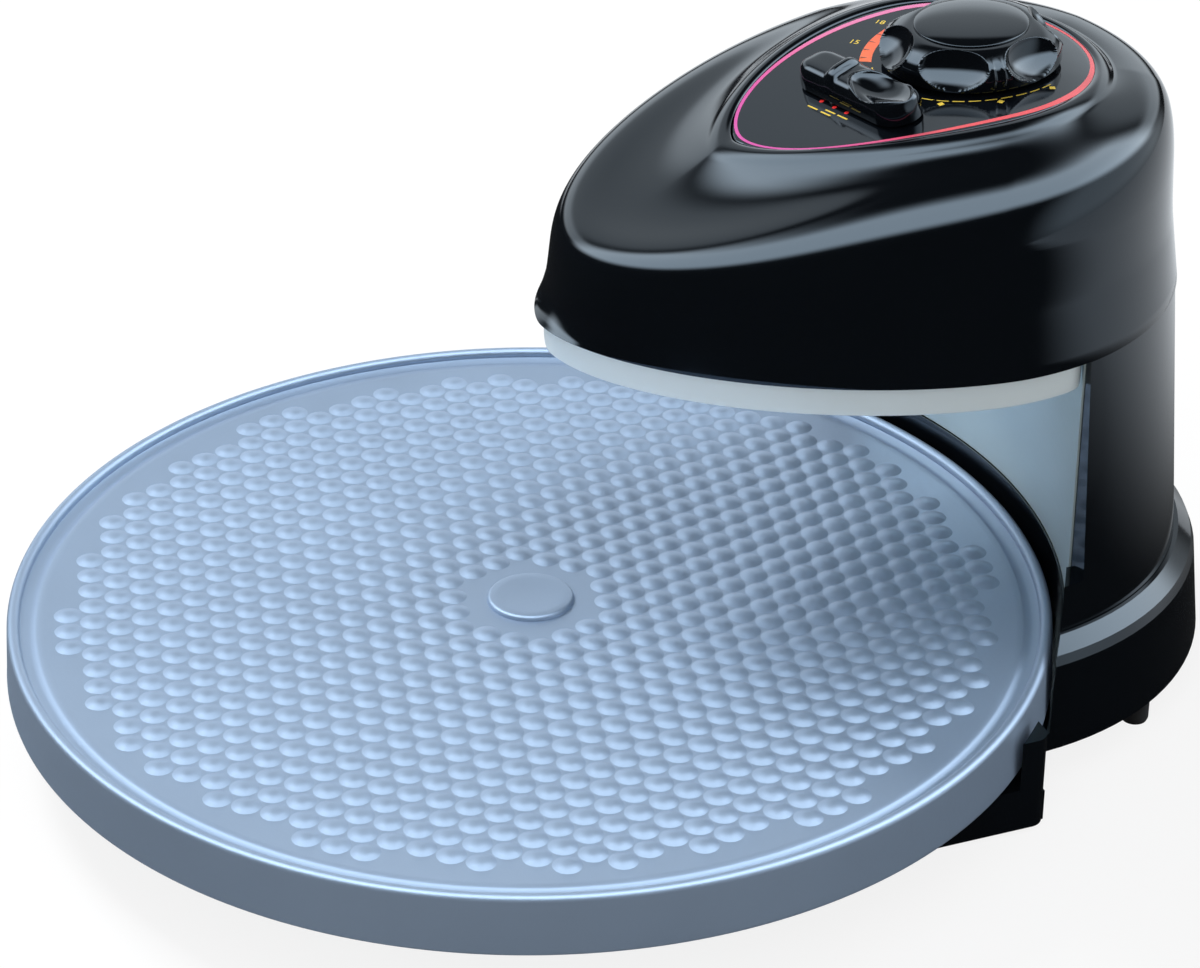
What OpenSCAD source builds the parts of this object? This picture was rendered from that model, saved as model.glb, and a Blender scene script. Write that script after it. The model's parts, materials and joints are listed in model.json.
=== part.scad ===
/* Electric pizza maker: a flat turning pan under a fixed heated head on a rear column.
   Millimetres, +Z up from the table, +Y towards the column, X across. */

/* [Pan] */
// Outer radius of the pan at its rim
pan_r = 165; // [150:1:175]
// Height of the pan's plain skirt
pan_h = 19.5; // [16:0.5:24]
// How far the skirt leans outwards by its lower edge
pan_flare = 1; // [0:0.25:1.5]
// Thickness of the pan's sheet
pan_sheet = 1.2; // [0.8:0.1:1.5]
// Depth of the cooking floor below the rim bead
floor_drop = 3; // [2.4:0.2:4]
// Width of the rolled rim bead
bead_w = 4; // [3:0.5:6]
// Width of the flat step inside the bead
step_w = 4.5; // [3:0.5:8]
// Air between the pan's skirt and the table
skirt_lift = 20.5; // [18:0.5:24]
// Diameter of the cap over the pan's rivet
cap_d = 28; // [22:1:36]
// Height of that cap above the floor
cap_h = 1.6; // [1:0.2:3]

/* [Drive] */
// Diameter of the drive shaft
shaft_d = 7; // [6:0.5:8]
// Diameter of the driving hub's flange
hub_d = 46; // [42:1:54]
// Thickness of the hub's flange
hub_t = 3; // [2.4:0.2:4]
// Width across the corners of the hub's six sided key
key_d = 20; // [16:1:22]
// Diameter of the gear motor
motor_d = 48; // [42:1:52]
// Height of the gear motor
motor_h = 16; // [12:1:17]

/* [Base] */
// Thickness of moulded walls
wall = 2.6; // [2:0.2:3.2]
// Half width of the front block under the pan
block_half_w = 125; // [115:1:130]
// Reach of the block in front of the pan axis
block_front = 88; // [70:1:110]
// Reach of the block behind the pan axis
block_back = 122; // [115:1:126]
// Corner radius at the front of the block
block_front_r = 45; // [30:1:60]
// Corner radius at the back of the block
block_back_r = 5; // [4:0.5:8]
// Height of the deck under the pan's skirt
deck_z = 16; // [15:0.5:17]
// Height of the horns behind the pan
horn_z = 33; // [26:1:36]
// Radius of the round rear of the base at its top
ring_r_top = 97.5; // [95:0.5:104]
// Radius of the round rear of the base at its bottom
ring_r_bottom = 101; // [98:0.5:108]
// Height of the round rear's lower edge above the table
ring_z = 10; // [8:0.5:12]
// Height of the sloping ledge round the column's foot
ledge_h = 4.2; // [3:0.2:6]
// Height of the turret's top above the table
turret_z = 24; // [23:0.5:25]

/* [Column] */
// How far the column's axis lies inside the pan's edge
column_inset = 39.5; // [36:0.5:44]
// Radius of the column at its foot
column_r_foot = 91; // [88:0.5:94]
// Radius of the column at its head
column_r_head = 84.5; // [80:0.5:87]
// Height of the seam of column and base above the rim
seam_h = 6; // [5:0.5:8]
// Height of the sill of the mouth above the rim
sill_h = 21; // [16:1:28]
// Free gap between the pan's skirt and the liner behind it
mouth_gap = 2.5; // [2:0.25:4]
// Distance of the mouth's flat cheeks behind the column's axis
cheek_back = 23.5; // [21.5:0.5:25.5]
// Thickness of the sheet metal liner
liner_t = 1; // [0.8:0.1:1.4]

/* [Head] */
// Height of the head's lower edge above the rim
head_gap = 95; // [88:1:100]
// Distance of the nose behind the pan's axis
nose_y = 3; // [0:0.5:8]
// Half width of the head
head_half_w = 85; // [80:0.5:88]
// Fullness of the head's plan, 2 is an ellipse
head_full = 1.66; // [1.5:0.02:2]
// Lean of the side walls by the shoulder
head_lean = 6.4; // [4:0.1:8]
// Fullness of the plan at the top of the wall
top_full = 1.98; // [1.84:0.02:2]
// Height of the side wall at the nose
wall_nose_h = 0.6; // [0.4:0.1:4]
// Height of the side wall at the back
wall_back_h = 28.4; // [20:0.2:30]
// Rise of the shoulder where it leaves the wall, at the nose, at the middle and at the back
shoulder_rise = [0.95, 0.97, 0.93]; // [0.8:0.01:1.05]
// Reach of the flat top from the collar outwards, at the same places
shoulder_reach = [0.87, 0.07, 0.82]; // [0.05:0.01:0.88]
// Slope of the flat top beside the collar, at the same places
shoulder_slope = [0.77, 0.79, 0.02]; // [0:0.01:0.9]

/* [Control panel] */
// Height of the panel's crown above the rim
crown_h = 161.9; // [158:0.1:164]
// Radius of the panel's crown from its nose to its back
crown_r = 294; // [270:2:340]
// Distance of the crown's highest line behind the column's axis
crown_back = 34; // [30:0.5:38]
// Height of the raised collar above the head's top, at the nose
collar_nose_h = 1; // [0.8:0.1:3]
// Height of the raised collar above the head's top, at the back
collar_back_h = 1.4; // [1:0.1:2.4]
// Distance of the collar's foot at the nose behind the pan's axis
collar_nose = 57; // [54:1:59]
// Distance of the collar's round centre behind the column's axis
collar_back = 8.5; // [7:0.5:10.5]
// Radius of the collar's foot at its round end
collar_r = 53.5; // [52:0.5:55]
// Distance of the panel's point behind the pan's axis
panel_nose = 66.5; // [65:0.5:69]
// Distance of the panel's round centre behind the column's axis
panel_back = 11; // [10:0.5:11.5]
// Radius of the panel's round end
panel_r = 44.8; // [44:0.2:46]
// Thickness of the panel's plate
panel_t = 2.4; // [2:0.2:3]
// Distance of the timer's axis behind the column's
timer_back = 19; // [16:0.5:22]
// Distance of the selector's axis in front of the timer's
selector_gap = 42; // [42:0.5:48]

/* [Knobs] */
// Diameter of the timer knob's foot
timer_knob_d = 56; // [50:1:56]
// Diameter of the timer knob's flat top
timer_top_d = 36; // [32:1:40]
// Height of the timer knob
timer_knob_h = 13.5; // [13:0.5:20]
// Number of thumb dishes round the timer knob
dishes = 6; // [5:1:8]
// Length of the selector's wing from its axis
wing_l = 32; // [24:0.5:32]
// Width of the wing
wing_w = 16; // [14:0.5:17]
// Length of the selector's short end from its axis
bulb_l = 17.5; // [15:0.5:20]
// Width of the short end
bulb_w = 15; // [12:0.5:17]
// Height of the selector's wings
lever_h = 9; // [7:0.5:12]
// Diameter of the control shafts
control_d = 6; // [5:0.5:6.5]

/* [Heaters] */
// Diameter of the heater tubes
tube_d = 6.4; // [5:0.2:8]
// Spacing of the heater's legs
leg_gap = 30; // [26:1:32]
// Distance of the front bends' centres behind the pan's axis
legs_front = 66; // [60:1:72]
// Distance of the back bend's centre behind the column's axis
bend_back = 1.5; // [-16:0.5:5]
// Distance of the tails in front of the back bend's centre
tails_gap = 16; // [15:1:22]
// Radius of the elbows at the tails
elbow_r = 9; // [8:0.5:11]
// Height of the reflector's bright lip below the head
lip_h = 10.5; // [7:0.5:12]
// Thickness of the reflector sheet
foil_t = 0.8; // [0.6:0.1:1.2]

/* [Small parts] */
// Diameter of the rear feet
foot_d = 9; // [8:0.5:12]
// Diameter of the front pads
pad_d = 14; // [10:1:18]
// Height that the front pads stand proud
pad_h = 1.5; // [1:0.25:2.5]
// Diameter of the reset button
reset_d = 10; // [8:0.5:12]
// Travel of the reset button
reset_travel = 2.5; // [2:0.25:3]
// Thread diameter of the case screws
screw_d = 3; // [2.5:0.5:3.5]

/* [Hidden] */
$fn = 72;
eps = 0.01;
tall = 300;
seat = 0.3;
run = 0.05;
slip = 0.1;
snug = 0.05;

rim_z = skirt_lift + pan_h;
floor_z = rim_z - floor_drop;
pan_out_r = pan_r + pan_flare;
column_y = pan_out_r - column_inset;
cheek_y = column_y + cheek_back;
collar_y = column_y + collar_back;
panel_y = column_y + panel_back;
timer_y = column_y + timer_back;
crown_y = column_y + crown_back;
selector_y = timer_y - selector_gap;
legs_back = column_y + bend_back;
tails_y = legs_back - tails_gap;
liner_r = pan_out_r + mouth_gap;
liner_back_r = liner_r + liner_t + seat;
mouth_half_w = sqrt(pow(liner_r + liner_t / 2, 2) - pow(cheek_y, 2));
rear_reach = column_y + ring_r_bottom;
pan_y = (pan_out_r - rear_reach) / 2;
seam_z = rim_z + seam_h;
sill_z = rim_z + sill_h;
head_z = rim_z + head_gap;
ring_top_z = seam_z - seat;
clear_r = liner_r - 0.7;
wall_draft = (column_r_foot - column_r_head) / (head_z - seam_z);
black = "#17191d";
steel = "#b9bec2";
tin = "#c9d3d6";
plastic = "#26282c";

/* Moves a piece from the pan's axis into the part's frame */
module at_axis() translate([0, pan_y, 0]) children();
module at_column() translate([0, column_y, 0]) children();
/* Height of the crowned panel at a distance behind the pan's axis */
crown_z = rim_z + crown_h - crown_r;
function panel_z(y) = crown_z + sqrt(pow(crown_r, 2) - pow(y - crown_y, 2));
function tilt_at(y) = asin((crown_y - y) / crown_r);
/* Puts a piece on the panel, square to it */
module on_panel(y) translate([0, y, panel_z(y)]) rotate([tilt_at(y), 0, 0]) children();
module both_sides() {
  children();
  mirror([1, 0, 0]) children();
}
/* A wide shallow tube, smooth enough for the panel's crown */
module tube_fine(r_out, r_in, h) tube(r_out, r_in, h, $fn = 360);
module tube(r_out, r_in, h) difference() {
  cylinder(r = r_out, h = h);
  translate([0, 0, -1]) cylinder(r = r_in, h = h + 2);
}

/* An egg in plan: a superellipse towards the nose and a half circle behind.
   half_n steps run from the nose along +X to the back, and the list goes on round to the nose. */
function egg_point(a, nose, cy, r, p, q) = a <= 90
  ? [r * pow(sin(a), 2 / q), cy - (cy - nose) * pow(cos(a), 2 / p)]
  : [r * sin(a), cy - r * cos(a)];
half_n = 36;
angles = [for (i = [0 : half_n]) 180 * i / half_n];
function full_loop(half) = concat(half, [for (i = [half_n - 1 : -1 : 1]) [-half[i].x, half[i].y]]);
function head_egg(inset) = full_loop([for (a = angles)
  egg_point(a, nose_y + inset, column_y, head_half_w - inset, head_full, head_full)]);
function wall_egg(inset) = full_loop([for (a = angles)
  egg_point(a, nose_y + head_lean + inset, column_y, head_half_w - head_lean - inset, top_full, top_full)]);
function collar_egg(inset) = full_loop([for (a = angles)
  egg_point(a, collar_nose + inset, collar_y, collar_r - inset, 1.7, 1.45)]);
function panel_egg(inset) = full_loop([for (a = angles)
  egg_point(a, panel_nose + inset, panel_y, panel_r - inset, 1.8, 1.6)]);

/* Round block outline as exact arcs and straight sides, inset by d */
module block_2d(d) {
  w = block_half_w - d;
  front = block_front - d;
  back = block_back - d;
  rf = block_front_r - d;
  rb = block_back_r - d / 2;
  translate([-w, rf - front]) square([2 * w, front + back - rf - rb]);
  translate([rf - w, -front]) square([2 * (w - rf), rf + 1]);
  translate([rb - w, back - rb - 1]) square([2 * (w - rb), rb + 1]);
  both_sides() {
    translate([w - rf, rf - front]) circle(r = rf);
    translate([w - rb, back - rb]) circle(r = rb);
  }
}
/* The base's outer form, or its hollow when d is the wall */
module base_form(d) {
  top = ring_top_z - d;
  low = d > 0 ? 3 : 0;
  difference() {
    union() {
      translate([0, 0, pad_h - low]) linear_extrude(horn_z - d - pad_h + low) block_2d(d);
      at_column() rotate_extrude() polygon([[0, ring_z - low], [ring_r_bottom - d, ring_z - low],
        [ring_r_top - d + 0.6, top - ledge_h - 3], [ring_r_top - d - 0.6, top - ledge_h],
        [column_r_foot + 1.5 - d, top], [0, top]]);
    }
    translate([0, 0, deck_z - d]) cylinder(r = clear_r + d, h = 60);
  }
  translate([0, 0, pad_h - low]) cylinder(d = turret_d - 2 * d, h = turret_z - d - pad_h + low);
}
plate_screw_x = block_half_w - 20;
plate_screws = [for (y = [block_front_r - block_front - 2, block_back - 27])
  for (x = [-plate_screw_x, plate_screw_x]) [x, y]];
rear_screw_a = 14;
plate_t = 2;
rear_screw_r = ring_r_bottom - wall - 10;
rear_screws = [for (a = [-rear_screw_a, rear_screw_a])
  [rear_screw_r * sin(a), column_y + rear_screw_r * cos(a)]];
reset_a = 27;
fitting_z = ring_z + 15;
fitting_share = (fitting_z - ring_z) / (ring_top_z - ledge_h - ring_z);
fitting_r = ring_r_bottom + (ring_r_top - ring_r_bottom) * fitting_share + 0.3;
motor_z = pad_h + plate_t + seat;
motor_screw_x = motor_d / 2 + 4.2;
turret_d = motor_d + 16;
ear_z = motor_z + 3;
ear_t = 1.5;
bush_h = 5;
well_r = column_r_foot - 16.5;
flange_z = ring_top_z - wall;
tail_x = 1.5 * leg_gap;
lower_tube_z = deck_z + 11;
frame_x = 36;
frame_y = column_y + 53.5;
frame_w = 18;
frame_d = 10;
module screw_posts(spots, r, z0, z1) for (s = spots) translate([s.x, s.y, z0]) cylinder(r = r, h = z1 - z0);

module base_housing() color(black) at_axis() difference() {
  union() {
    difference() {
      base_form(0);
      base_form(wall);
    }
    screw_posts(plate_screws, post_r, pad_h + plate_t + seat, deck_z - wall + eps);
    screw_posts(rear_screws, post_r, ring_z + plate_t + seat, flange_z + eps);
    translate([0, 0, turret_z - eps]) cylinder(d = shaft_d + 8, h = 2);
    both_sides() translate([motor_screw_x, 0, ear_z + ear_t])
      cylinder(r = 3, h = turret_z - wall - ear_z - ear_t + eps);
    translate([wall - block_half_w, block_back - wall, pad_h])
      cube([2 * (block_half_w - wall), wall, ring_z + plate_t - pad_h]);
  }
  screw_posts(plate_screws, screw_d / 2 + slip, 0, deck_z - wall - 1.5);
  screw_posts(rear_screws, screw_d / 2 + slip, 0, ring_top_z - ledge_h - 6);
  both_sides() translate([motor_screw_x, 0, 0]) cylinder(d = screw_d + 2 * slip, h = turret_z - wall - 1);
  cylinder(r = shaft_d / 2 + run, h = 60);
  both_sides() translate([tail_x, tails_y, 0]) cylinder(r = tube_d / 2 + 0.6, h = 30);
  column_well(flange_z - 1, 2 + wall);
  screw_posts(column_spots, screw_d / 2 + slip, flange_z - 1, ring_top_z + 1);
  reset_place() translate([0, 0, -wall - 6]) cylinder(r = reset_d / 2 + slip, h = 20);
  grommet_place() translate([0, 0, -wall - 4]) cylinder(r = grommet_d / 2 - 2, h = 20);
}
grommet_d = 16;
post_r = 4.5;
boss_r = 4;
boss_h = 14;
column_boss_r = column_r_foot - wall - 2 * boss_r - 0.4;
column_spots = [for (a = [-52, -24, 24, 52]) [column_boss_r * sin(a), column_y + column_boss_r * cos(a)]];
/* The opening between the base and the column, for the frame and wires */
module column_well(z, h) difference() {
  at_column() translate([0, 0, z]) cylinder(r = well_r, h = h);
  translate([0, 0, z - 1]) cylinder(r = liner_back_r + wall + 1, h = h + 2);
}

module base_plate() color(steel) at_axis() difference() {
  translate([0, 0, pad_h]) linear_extrude(plate_t) block_2d(wall + seat);
  screw_posts(plate_screws, screw_d / 2 + slip, 0, 20);
  for (x = [-60 : 20 : 60]) translate([x, vent_y, 0]) {
    translate([-vent_w / 2, -vent_l / 2, 0]) cube([vent_w, vent_l, 20]);
    for (s = [-1, 1]) translate([0, s * vent_l / 2, 0]) cylinder(d = vent_w, h = 20);
  }
}
vent_w = 4;
vent_l = 28;
vent_y = 26 - block_front;
module rear_plate() color(steel) at_axis() difference() {
  at_column() translate([0, 0, ring_z]) cylinder(r = ring_r_bottom - wall - seat - 0.3, h = plate_t);
  translate([-200, -100, 0]) cube([400, 100 + block_back + seat, 40]);
  screw_posts(rear_screws, screw_d / 2 + slip, 0, 20);
  screw_posts(foot_spots, foot_peg_r + slip, 0, 20);
}
foot_spots = [for (x = [-1, 1]) [x * (ring_r_bottom - 20.5), column_y + 49.5]];
foot_peg_r = 2;
module rear_feet() color("#101113") at_axis() for (s = foot_spots) translate([s.x, s.y, 0]) {
  cylinder(d1 = foot_d - 1, d2 = foot_d, h = 1.2);
  translate([0, 0, 1.2 - eps]) cylinder(d = foot_d, h = ring_z - 1.2 - seat + eps);
  cylinder(r = foot_peg_r, h = ring_z + plate_t + 1);
}
pad_x = block_half_w - 37;
pad_spots = [for (y = [block_front_r - block_front - 17, block_back - 50]) for (x = [-pad_x, pad_x]) [x, y]];
module front_pads() color("#101113") at_axis() for (s = pad_spots) translate([s.x, s.y, 0])
  cylinder(d = pad_d, h = pad_h);
/* A pan head screw that points up, its head below z = 0 */
screw_head = 1.8;
module screw(l) {
  difference() {
    translate([0, 0, -screw_head]) cylinder(d = 2 * screw_d, h = screw_head);
    translate([-screw_d, -0.4, -2]) cube([2 * screw_d, 0.8, 1.2]);
  }
  translate([0, 0, -eps]) cylinder(d = screw_d, h = l);
}
module base_screws() color("#8d9296") at_axis() {
  for (s = plate_screws) translate([s.x, s.y, pad_h]) screw(8);
  for (s = rear_screws) translate([s.x, s.y, ring_z]) screw(14);
}

module drive_motor() color("#9aa1a6") at_axis() {
  difference() {
    union() {
      translate([0, 0, motor_z]) cylinder(d = motor_d, h = motor_h);
      translate([0, 0, motor_z + 7]) tube(motor_d / 2 + 0.8, motor_d / 2 - 1, 2);
      translate([-motor_screw_x - 4, -5, ear_z]) cube([2 * motor_screw_x + 8, 10, ear_t]);
    }
    translate([0, 0, motor_z + motor_h - bush_h]) cylinder(r = shaft_d / 2 + run, h = 20);
    both_sides() translate([motor_screw_x, 0, 0]) cylinder(d = screw_d + 2 * slip, h = 20);
  }
}
module motor_screws() color("#8d9296") at_axis() both_sides() translate([motor_screw_x, 0, ear_z]) screw(10);
hub_z = turret_z + 2 + seat;
shaft_low = motor_z + motor_h - bush_h + seat;
shaft_top = hub_z + hub_t + 1;
module drive_shaft() color(steel) at_axis() {
  translate([0, 0, shaft_low]) cylinder(d = shaft_d, h = shaft_top - shaft_low);
}
key_h = 4;
module drive_hub() color(plastic) at_axis() difference() {
  union() {
    translate([0, 0, hub_z]) cylinder(d = hub_d, h = hub_t);
    translate([0, 0, hub_z + hub_t - eps]) cylinder(d = key_d, h = key_h, $fn = 6);
    for (a = [0 : 60 : 300]) rotate([0, 0, a]) translate([socket_d / 2 + 0.5, -0.8, hub_z + hub_t - eps])
      cube([hub_d / 2 - socket_d / 2 - 1.5, 1.6, 0.8]);
  }
  translate([0, 0, hub_z - 1]) cylinder(r = shaft_d / 2 + run, h = shaft_top + 2 * seat - hub_z + 1);
}

/* Plan of the lower tray: the head's egg, inside the skirt and clear of the turret */
module lower_tray_2d(d) difference() {
  intersection() {
    polygon(head_egg(10 + d));
    circle(r = pan_r - 9 - d);
  }
  circle(d = turret_d + 4 + 2 * d);
}
tray_z = deck_z + seat;
tray_h = 6.5;
module lower_reflector() color(tin) at_axis() difference() {
  union() {
    translate([0, 0, tray_z]) linear_extrude(foil_t) lower_tray_2d(0);
    translate([0, 0, tray_z]) linear_extrude(tray_h) difference() {
      lower_tray_2d(0);
      lower_tray_2d(foil_t);
    }
    translate([0, 0, tray_z + tray_h - foil_t]) linear_extrude(foil_t) difference() {
      lower_tray_2d(0);
      lower_tray_2d(3);
    }
  }
  both_sides() translate([tail_x, tails_y, 0]) cylinder(r = tube_d / 2 + 0.5, h = 40);
}
/* A heater in an M of four legs, its two ends turned down */
module heater() {
  r = leg_gap / 2;
  both_sides() {
    translate([tail_x, legs_front, 0]) rotate([-90, 0, 0])
      cylinder(d = tube_d, h = tails_y - elbow_r - legs_front);
    translate([r, legs_front, 0]) rotate([-90, 0, 0]) cylinder(d = tube_d, h = legs_back - legs_front);
    translate([leg_gap, legs_front, 0]) rotate([0, 0, 180]) rotate_extrude(angle = 180)
      translate([r, 0]) circle(d = tube_d);
    translate([tail_x, tails_y - elbow_r, -elbow_r]) rotate([0, -90, 0]) rotate_extrude(angle = 90)
      translate([elbow_r, 0]) circle(d = tube_d);
    translate([tail_x, tails_y, -elbow_r - tail_l]) cylinder(d = tube_d, h = tail_l);
    translate([tail_x, tails_y, -elbow_r - tail_l - pin_l]) cylinder(d = 2.4, h = pin_l + eps);
  }
  translate([0, legs_back, 0]) rotate_extrude(angle = 180) translate([r, 0]) circle(d = tube_d);
}
tail_l = 5;
pin_l = 5;
module lower_element() color("#5a5d60") at_axis() translate([0, 0, lower_tube_z]) heater();
/* Saddles round the heater's outer legs, standing on a sheet at depth below the tubes */
module saddles(depth) both_sides() for (y = [6, 30]) translate([tail_x, legs_front + y, 0]) difference() {
  translate([-tube_d / 2 - 2, -2.5, -depth]) cube([tube_d + 4, 5, depth + tube_d / 2 + 1.2]);
  translate([0, -10, 0]) rotate([-90, 0, 0]) cylinder(r = tube_d / 2 + slip, h = 20);
}
module lower_clips() color(steel) at_axis() translate([0, 0, lower_tube_z])
  saddles(lower_tube_z - tray_z - foil_t);

module grommet_place() at_column() translate([0, fitting_r, fitting_z]) rotate([-90, 0, 0]) children();
module reset_place() at_column() rotate([0, 0, reset_a]) translate([0, fitting_r, fitting_z])
  rotate([-90, 0, 0]) children();
module reset_button() color("#8a1f1c") at_axis() reset_place() {
  translate([0, 0, -reset_back]) cylinder(d = reset_d, h = reset_back + reset_travel);
  translate([0, 0, reset_travel - eps]) cylinder(d1 = reset_d, d2 = reset_d - 2, h = 0.8);
  translate([0, 0, -reset_back - 1.5]) cylinder(d = reset_d + 3, h = 1.5 + eps);
}
reset_back = wall + 1.8;
switch_w = 18;
switch_h = 14;
switch_l = 12;
lug_w = 1.5;
reset_switch_z = -reset_back - 1.5 - reset_travel - seat;
module reset_switch() color(plastic) at_axis() reset_place() {
  translate([-switch_w / 2, -switch_h / 2, reset_switch_z - switch_l]) cube([switch_w, switch_h, switch_l]);
  both_sides() translate([switch_w / 2 - eps, -switch_h / 2, reset_switch_z - switch_l])
    cube([lug_w, switch_h, switch_l - reset_switch_z - wall - 2]);
}
bead = 2;
module cord_grommet() color("#101113") at_axis() grommet_place() difference() {
  union() {
    translate([0, 0, -wall - 1.9 - bead]) cylinder(d = grommet_d, h = bead);
    translate([0, 0, -wall - 1.9 - eps]) cylinder(d = grommet_d - 4.4, h = wall + 3);
    translate([0, 0, 1]) cylinder(d1 = grommet_d, d2 = grommet_d - 3, h = 2.4);
  }
  translate([0, 0, -wall - 5]) cylinder(d = grommet_d - 8.4, h = 20);
}
terminal_l = 32;
terminal_w = 14;
terminal_h = 12;
terminal_gap = 10;
module terminal_block() color("#e8e4da") at_axis() translate([0, column_y + 69, frame_z]) difference() {
  translate([-terminal_l / 2, -terminal_w / 2 - 1, 0]) cube([terminal_l, terminal_w, terminal_h]);
  for (x = [-terminal_gap, 0, terminal_gap]) translate([x, -1, 5]) {
    cylinder(d = 4, h = terminal_h);
    translate([0, -terminal_w, 2]) rotate([-90, 0, 0]) cylinder(d = 3, h = 2 * terminal_w);
  }
}

/* The column's outer cone, inset by d, from one height to another */
module column_cone(d, z0, z1) at_column() translate([0, 0, z0])
  cylinder(r1 = cone_r(z0) - d, r2 = cone_r(z1) - d, h = z1 - z0);
function cone_r(z) = column_r_foot - wall_draft * (z - seam_z);
module column_shell() color(black) at_axis() difference() {
  union() {
    difference() {
      column_cone(0, seam_z, head_z - seat);
      column_cone(wall, seam_z - 1, head_z + 1);
    }
    for (s = column_spots) translate([s.x, s.y, seam_z]) {
      cylinder(r = boss_r, h = boss_h);
      rotate([0, 0, -atan2(s.x, s.y - column_y)]) translate([-1.2, 0, 0])
        cube([2.4, column_r_foot - wall + 1 - column_boss_r, boss_h]);
    }
    intersection() {
      column_cone(1, seam_z, head_z - seat);
      union() {
        tube_at(liner_back_r, liner_back_r + wall, seam_z, sill_z);
        both_sides() translate([mouth_half_w + seat, cheek_y, sill_z - wall]) cube([60, wall, tall]);
        both_sides() translate([mouth_half_w + seat, 0, seam_z]) intersection() {
          cube([60, cheek_y + wall, sill_z - seam_z]);
          translate([-mouth_half_w - seat, 0, -1]) tube(clear_r + wall, clear_r, 40);
        }
        both_sides() translate([mouth_half_w + seat, cheek_y - 50, sill_z - wall])
          cube([60, 50 + wall, wall]);
      }
    }
  }
  translate([0, 0, seam_z - 2]) cylinder(r = clear_r, h = tall);
  translate([-tall, 0, sill_z]) cube([2 * tall, cheek_y, tall]);
  intersection() {
    translate([0, 0, seam_z - 2]) cylinder(r = liner_back_r, h = tall);
    translate([-mouth_half_w - seat, 0, 0]) cube([2 * (mouth_half_w + seat), tall, tall]);
  }
  screw_posts(column_spots, screw_d / 2 + slip, seam_z - 1, seam_z + 12);
}
module tube_at(r_in, r_out, z0, z1) translate([0, 0, z0]) tube(r_out, r_in, z1 - z0);
module column_liner() color(tin) at_axis() {
  intersection() {
    tube_at(liner_r, liner_r + liner_t, seam_z, head_z - 2 * seat);
    translate([-mouth_half_w, column_y - 26, 0]) cube([2 * mouth_half_w, 120, tall]);
  }
  both_sides() for (z = [sill_z + 8, head_z - 20]) difference() {
    translate([frame_x - liner_tab_w / 2, cheek_y, z])
      cube([liner_tab_w, frame_y - frame_d / 2 - seat - cheek_y, 8]);
    translate([0, 0, z - 1]) cylinder(r = liner_r + liner_t / 2, h = 10);
  }
}
liner_tab_w = 12;

/* The heated head: the steel inside it first */
frame_top = head_z + 12;
foot_h = 1.5;
module column_frame() color(steel) at_axis() difference() {
  union() {
    both_sides() {
      translate([frame_x - frame_w / 2, frame_y - frame_d / 2, frame_z]) {
        cube([frame_w, frame_d, frame_top - frame_z]);
        cube([frame_w, frame_d + 14, foot_h]);
      }
    }
    translate([-frame_x, frame_y - frame_d / 2, frame_top - 6]) cube([2 * frame_x, frame_d, 6]);
  }
  both_sides() {
    translate([frame_x - frame_w / 2 + foot_h, frame_y - frame_d / 2 + foot_h, frame_z + foot_h])
      cube([frame_w - 2 * foot_h, frame_d, frame_top - frame_z - 2 * foot_h]);
    translate([frame_x, frame_y + frame_d / 2 + 7, 0]) cylinder(r = screw_d / 2 + slip, h = 40);
  }
  translate([foot_h - frame_x, frame_y - frame_d / 2 + foot_h, frame_top - 7])
    cube([2 * (frame_x - foot_h), frame_d, 7 - foot_h]);
}
frame_z = ring_z + plate_t + seat;
module column_screws() color("#8d9296") at_axis() for (s = column_spots)
  translate([s.x, s.y, flange_z]) screw(12);

/* Plan of the upper tray: the head's egg inside the skirt, cut off before the liner */
module upper_tray_2d(d) intersection() {
  polygon(head_egg(3 + d));
  circle(r = liner_r - 2 * seat - d);
}
lip_z = head_z - lip_h;
tray_flange_z = head_z - 1;
tray_top_z = head_z + 8;
tray_step = 11;
upper_tube_z = tray_top_z - foil_t - 7;
module tray_wall(d, t, z0, z1) translate([0, 0, z0]) linear_extrude(z1 - z0) difference() {
  upper_tray_2d(d);
  upper_tray_2d(d + t);
}
module upper_reflector() color(tin) at_axis() difference() {
  union() {
    tray_wall(0, foil_t, lip_z, tray_flange_z);
    tray_wall(0, 2 * foil_t, lip_z, lip_z + 2);
    tray_wall(0, tray_step + foil_t, tray_flange_z - foil_t, tray_flange_z);
    tray_wall(tray_step, foil_t, tray_flange_z - foil_t, tray_top_z);
    translate([0, 0, tray_top_z - foil_t]) linear_extrude(foil_t) upper_tray_2d(tray_step);
  }
  both_sides() translate([tail_x, tails_y, head_z]) cylinder(r = tube_d / 2 + 0.5, h = 40);
}
module upside_down(z) translate([0, 0, z]) mirror([0, 0, 1]) children();
module upper_element() color("#5a5d60") at_axis() upside_down(upper_tube_z) heater();
module upper_clips() color(steel) at_axis() upside_down(upper_tube_z)
  saddles(tray_top_z - foil_t - upper_tube_z);
module thermal_cutout() color("#d8d2c4") at_axis() translate([0, legs_front + 20, tray_top_z + snug]) {
  cylinder(d = 24, h = 1);
  translate([0, 0, 1 - eps]) cylinder(d = 16, h = 9);
  both_sides() translate([3.5, -3, 10 - 2 * eps]) cube([0.8, 6, 7]);
}
stud_spots = [for (x = [-24, 24]) [x, column_y + 21.5]];
wire_r = 6;
module head_bracket() color(steel) at_axis() difference() {
  union() {
    translate([0, 0, frame_top + snug]) linear_extrude(foot_h) intersection() {
      translate([0, column_y]) circle(r = head_half_w - 9);
      translate([-100, column_y + 15.5]) square([200, 100]);
    }
    screw_posts(stud_spots, 4, tray_top_z + snug, frame_top + snug + eps);
  }
  translate([0, frame_y + frame_d / 2 + 8, frame_top - 1]) cylinder(r = wire_r, h = 10);
  both_sides() translate([head_half_w - 25, column_y + 23.5, frame_top - 1]) cylinder(r = wire_r, h = 10);
}

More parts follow.
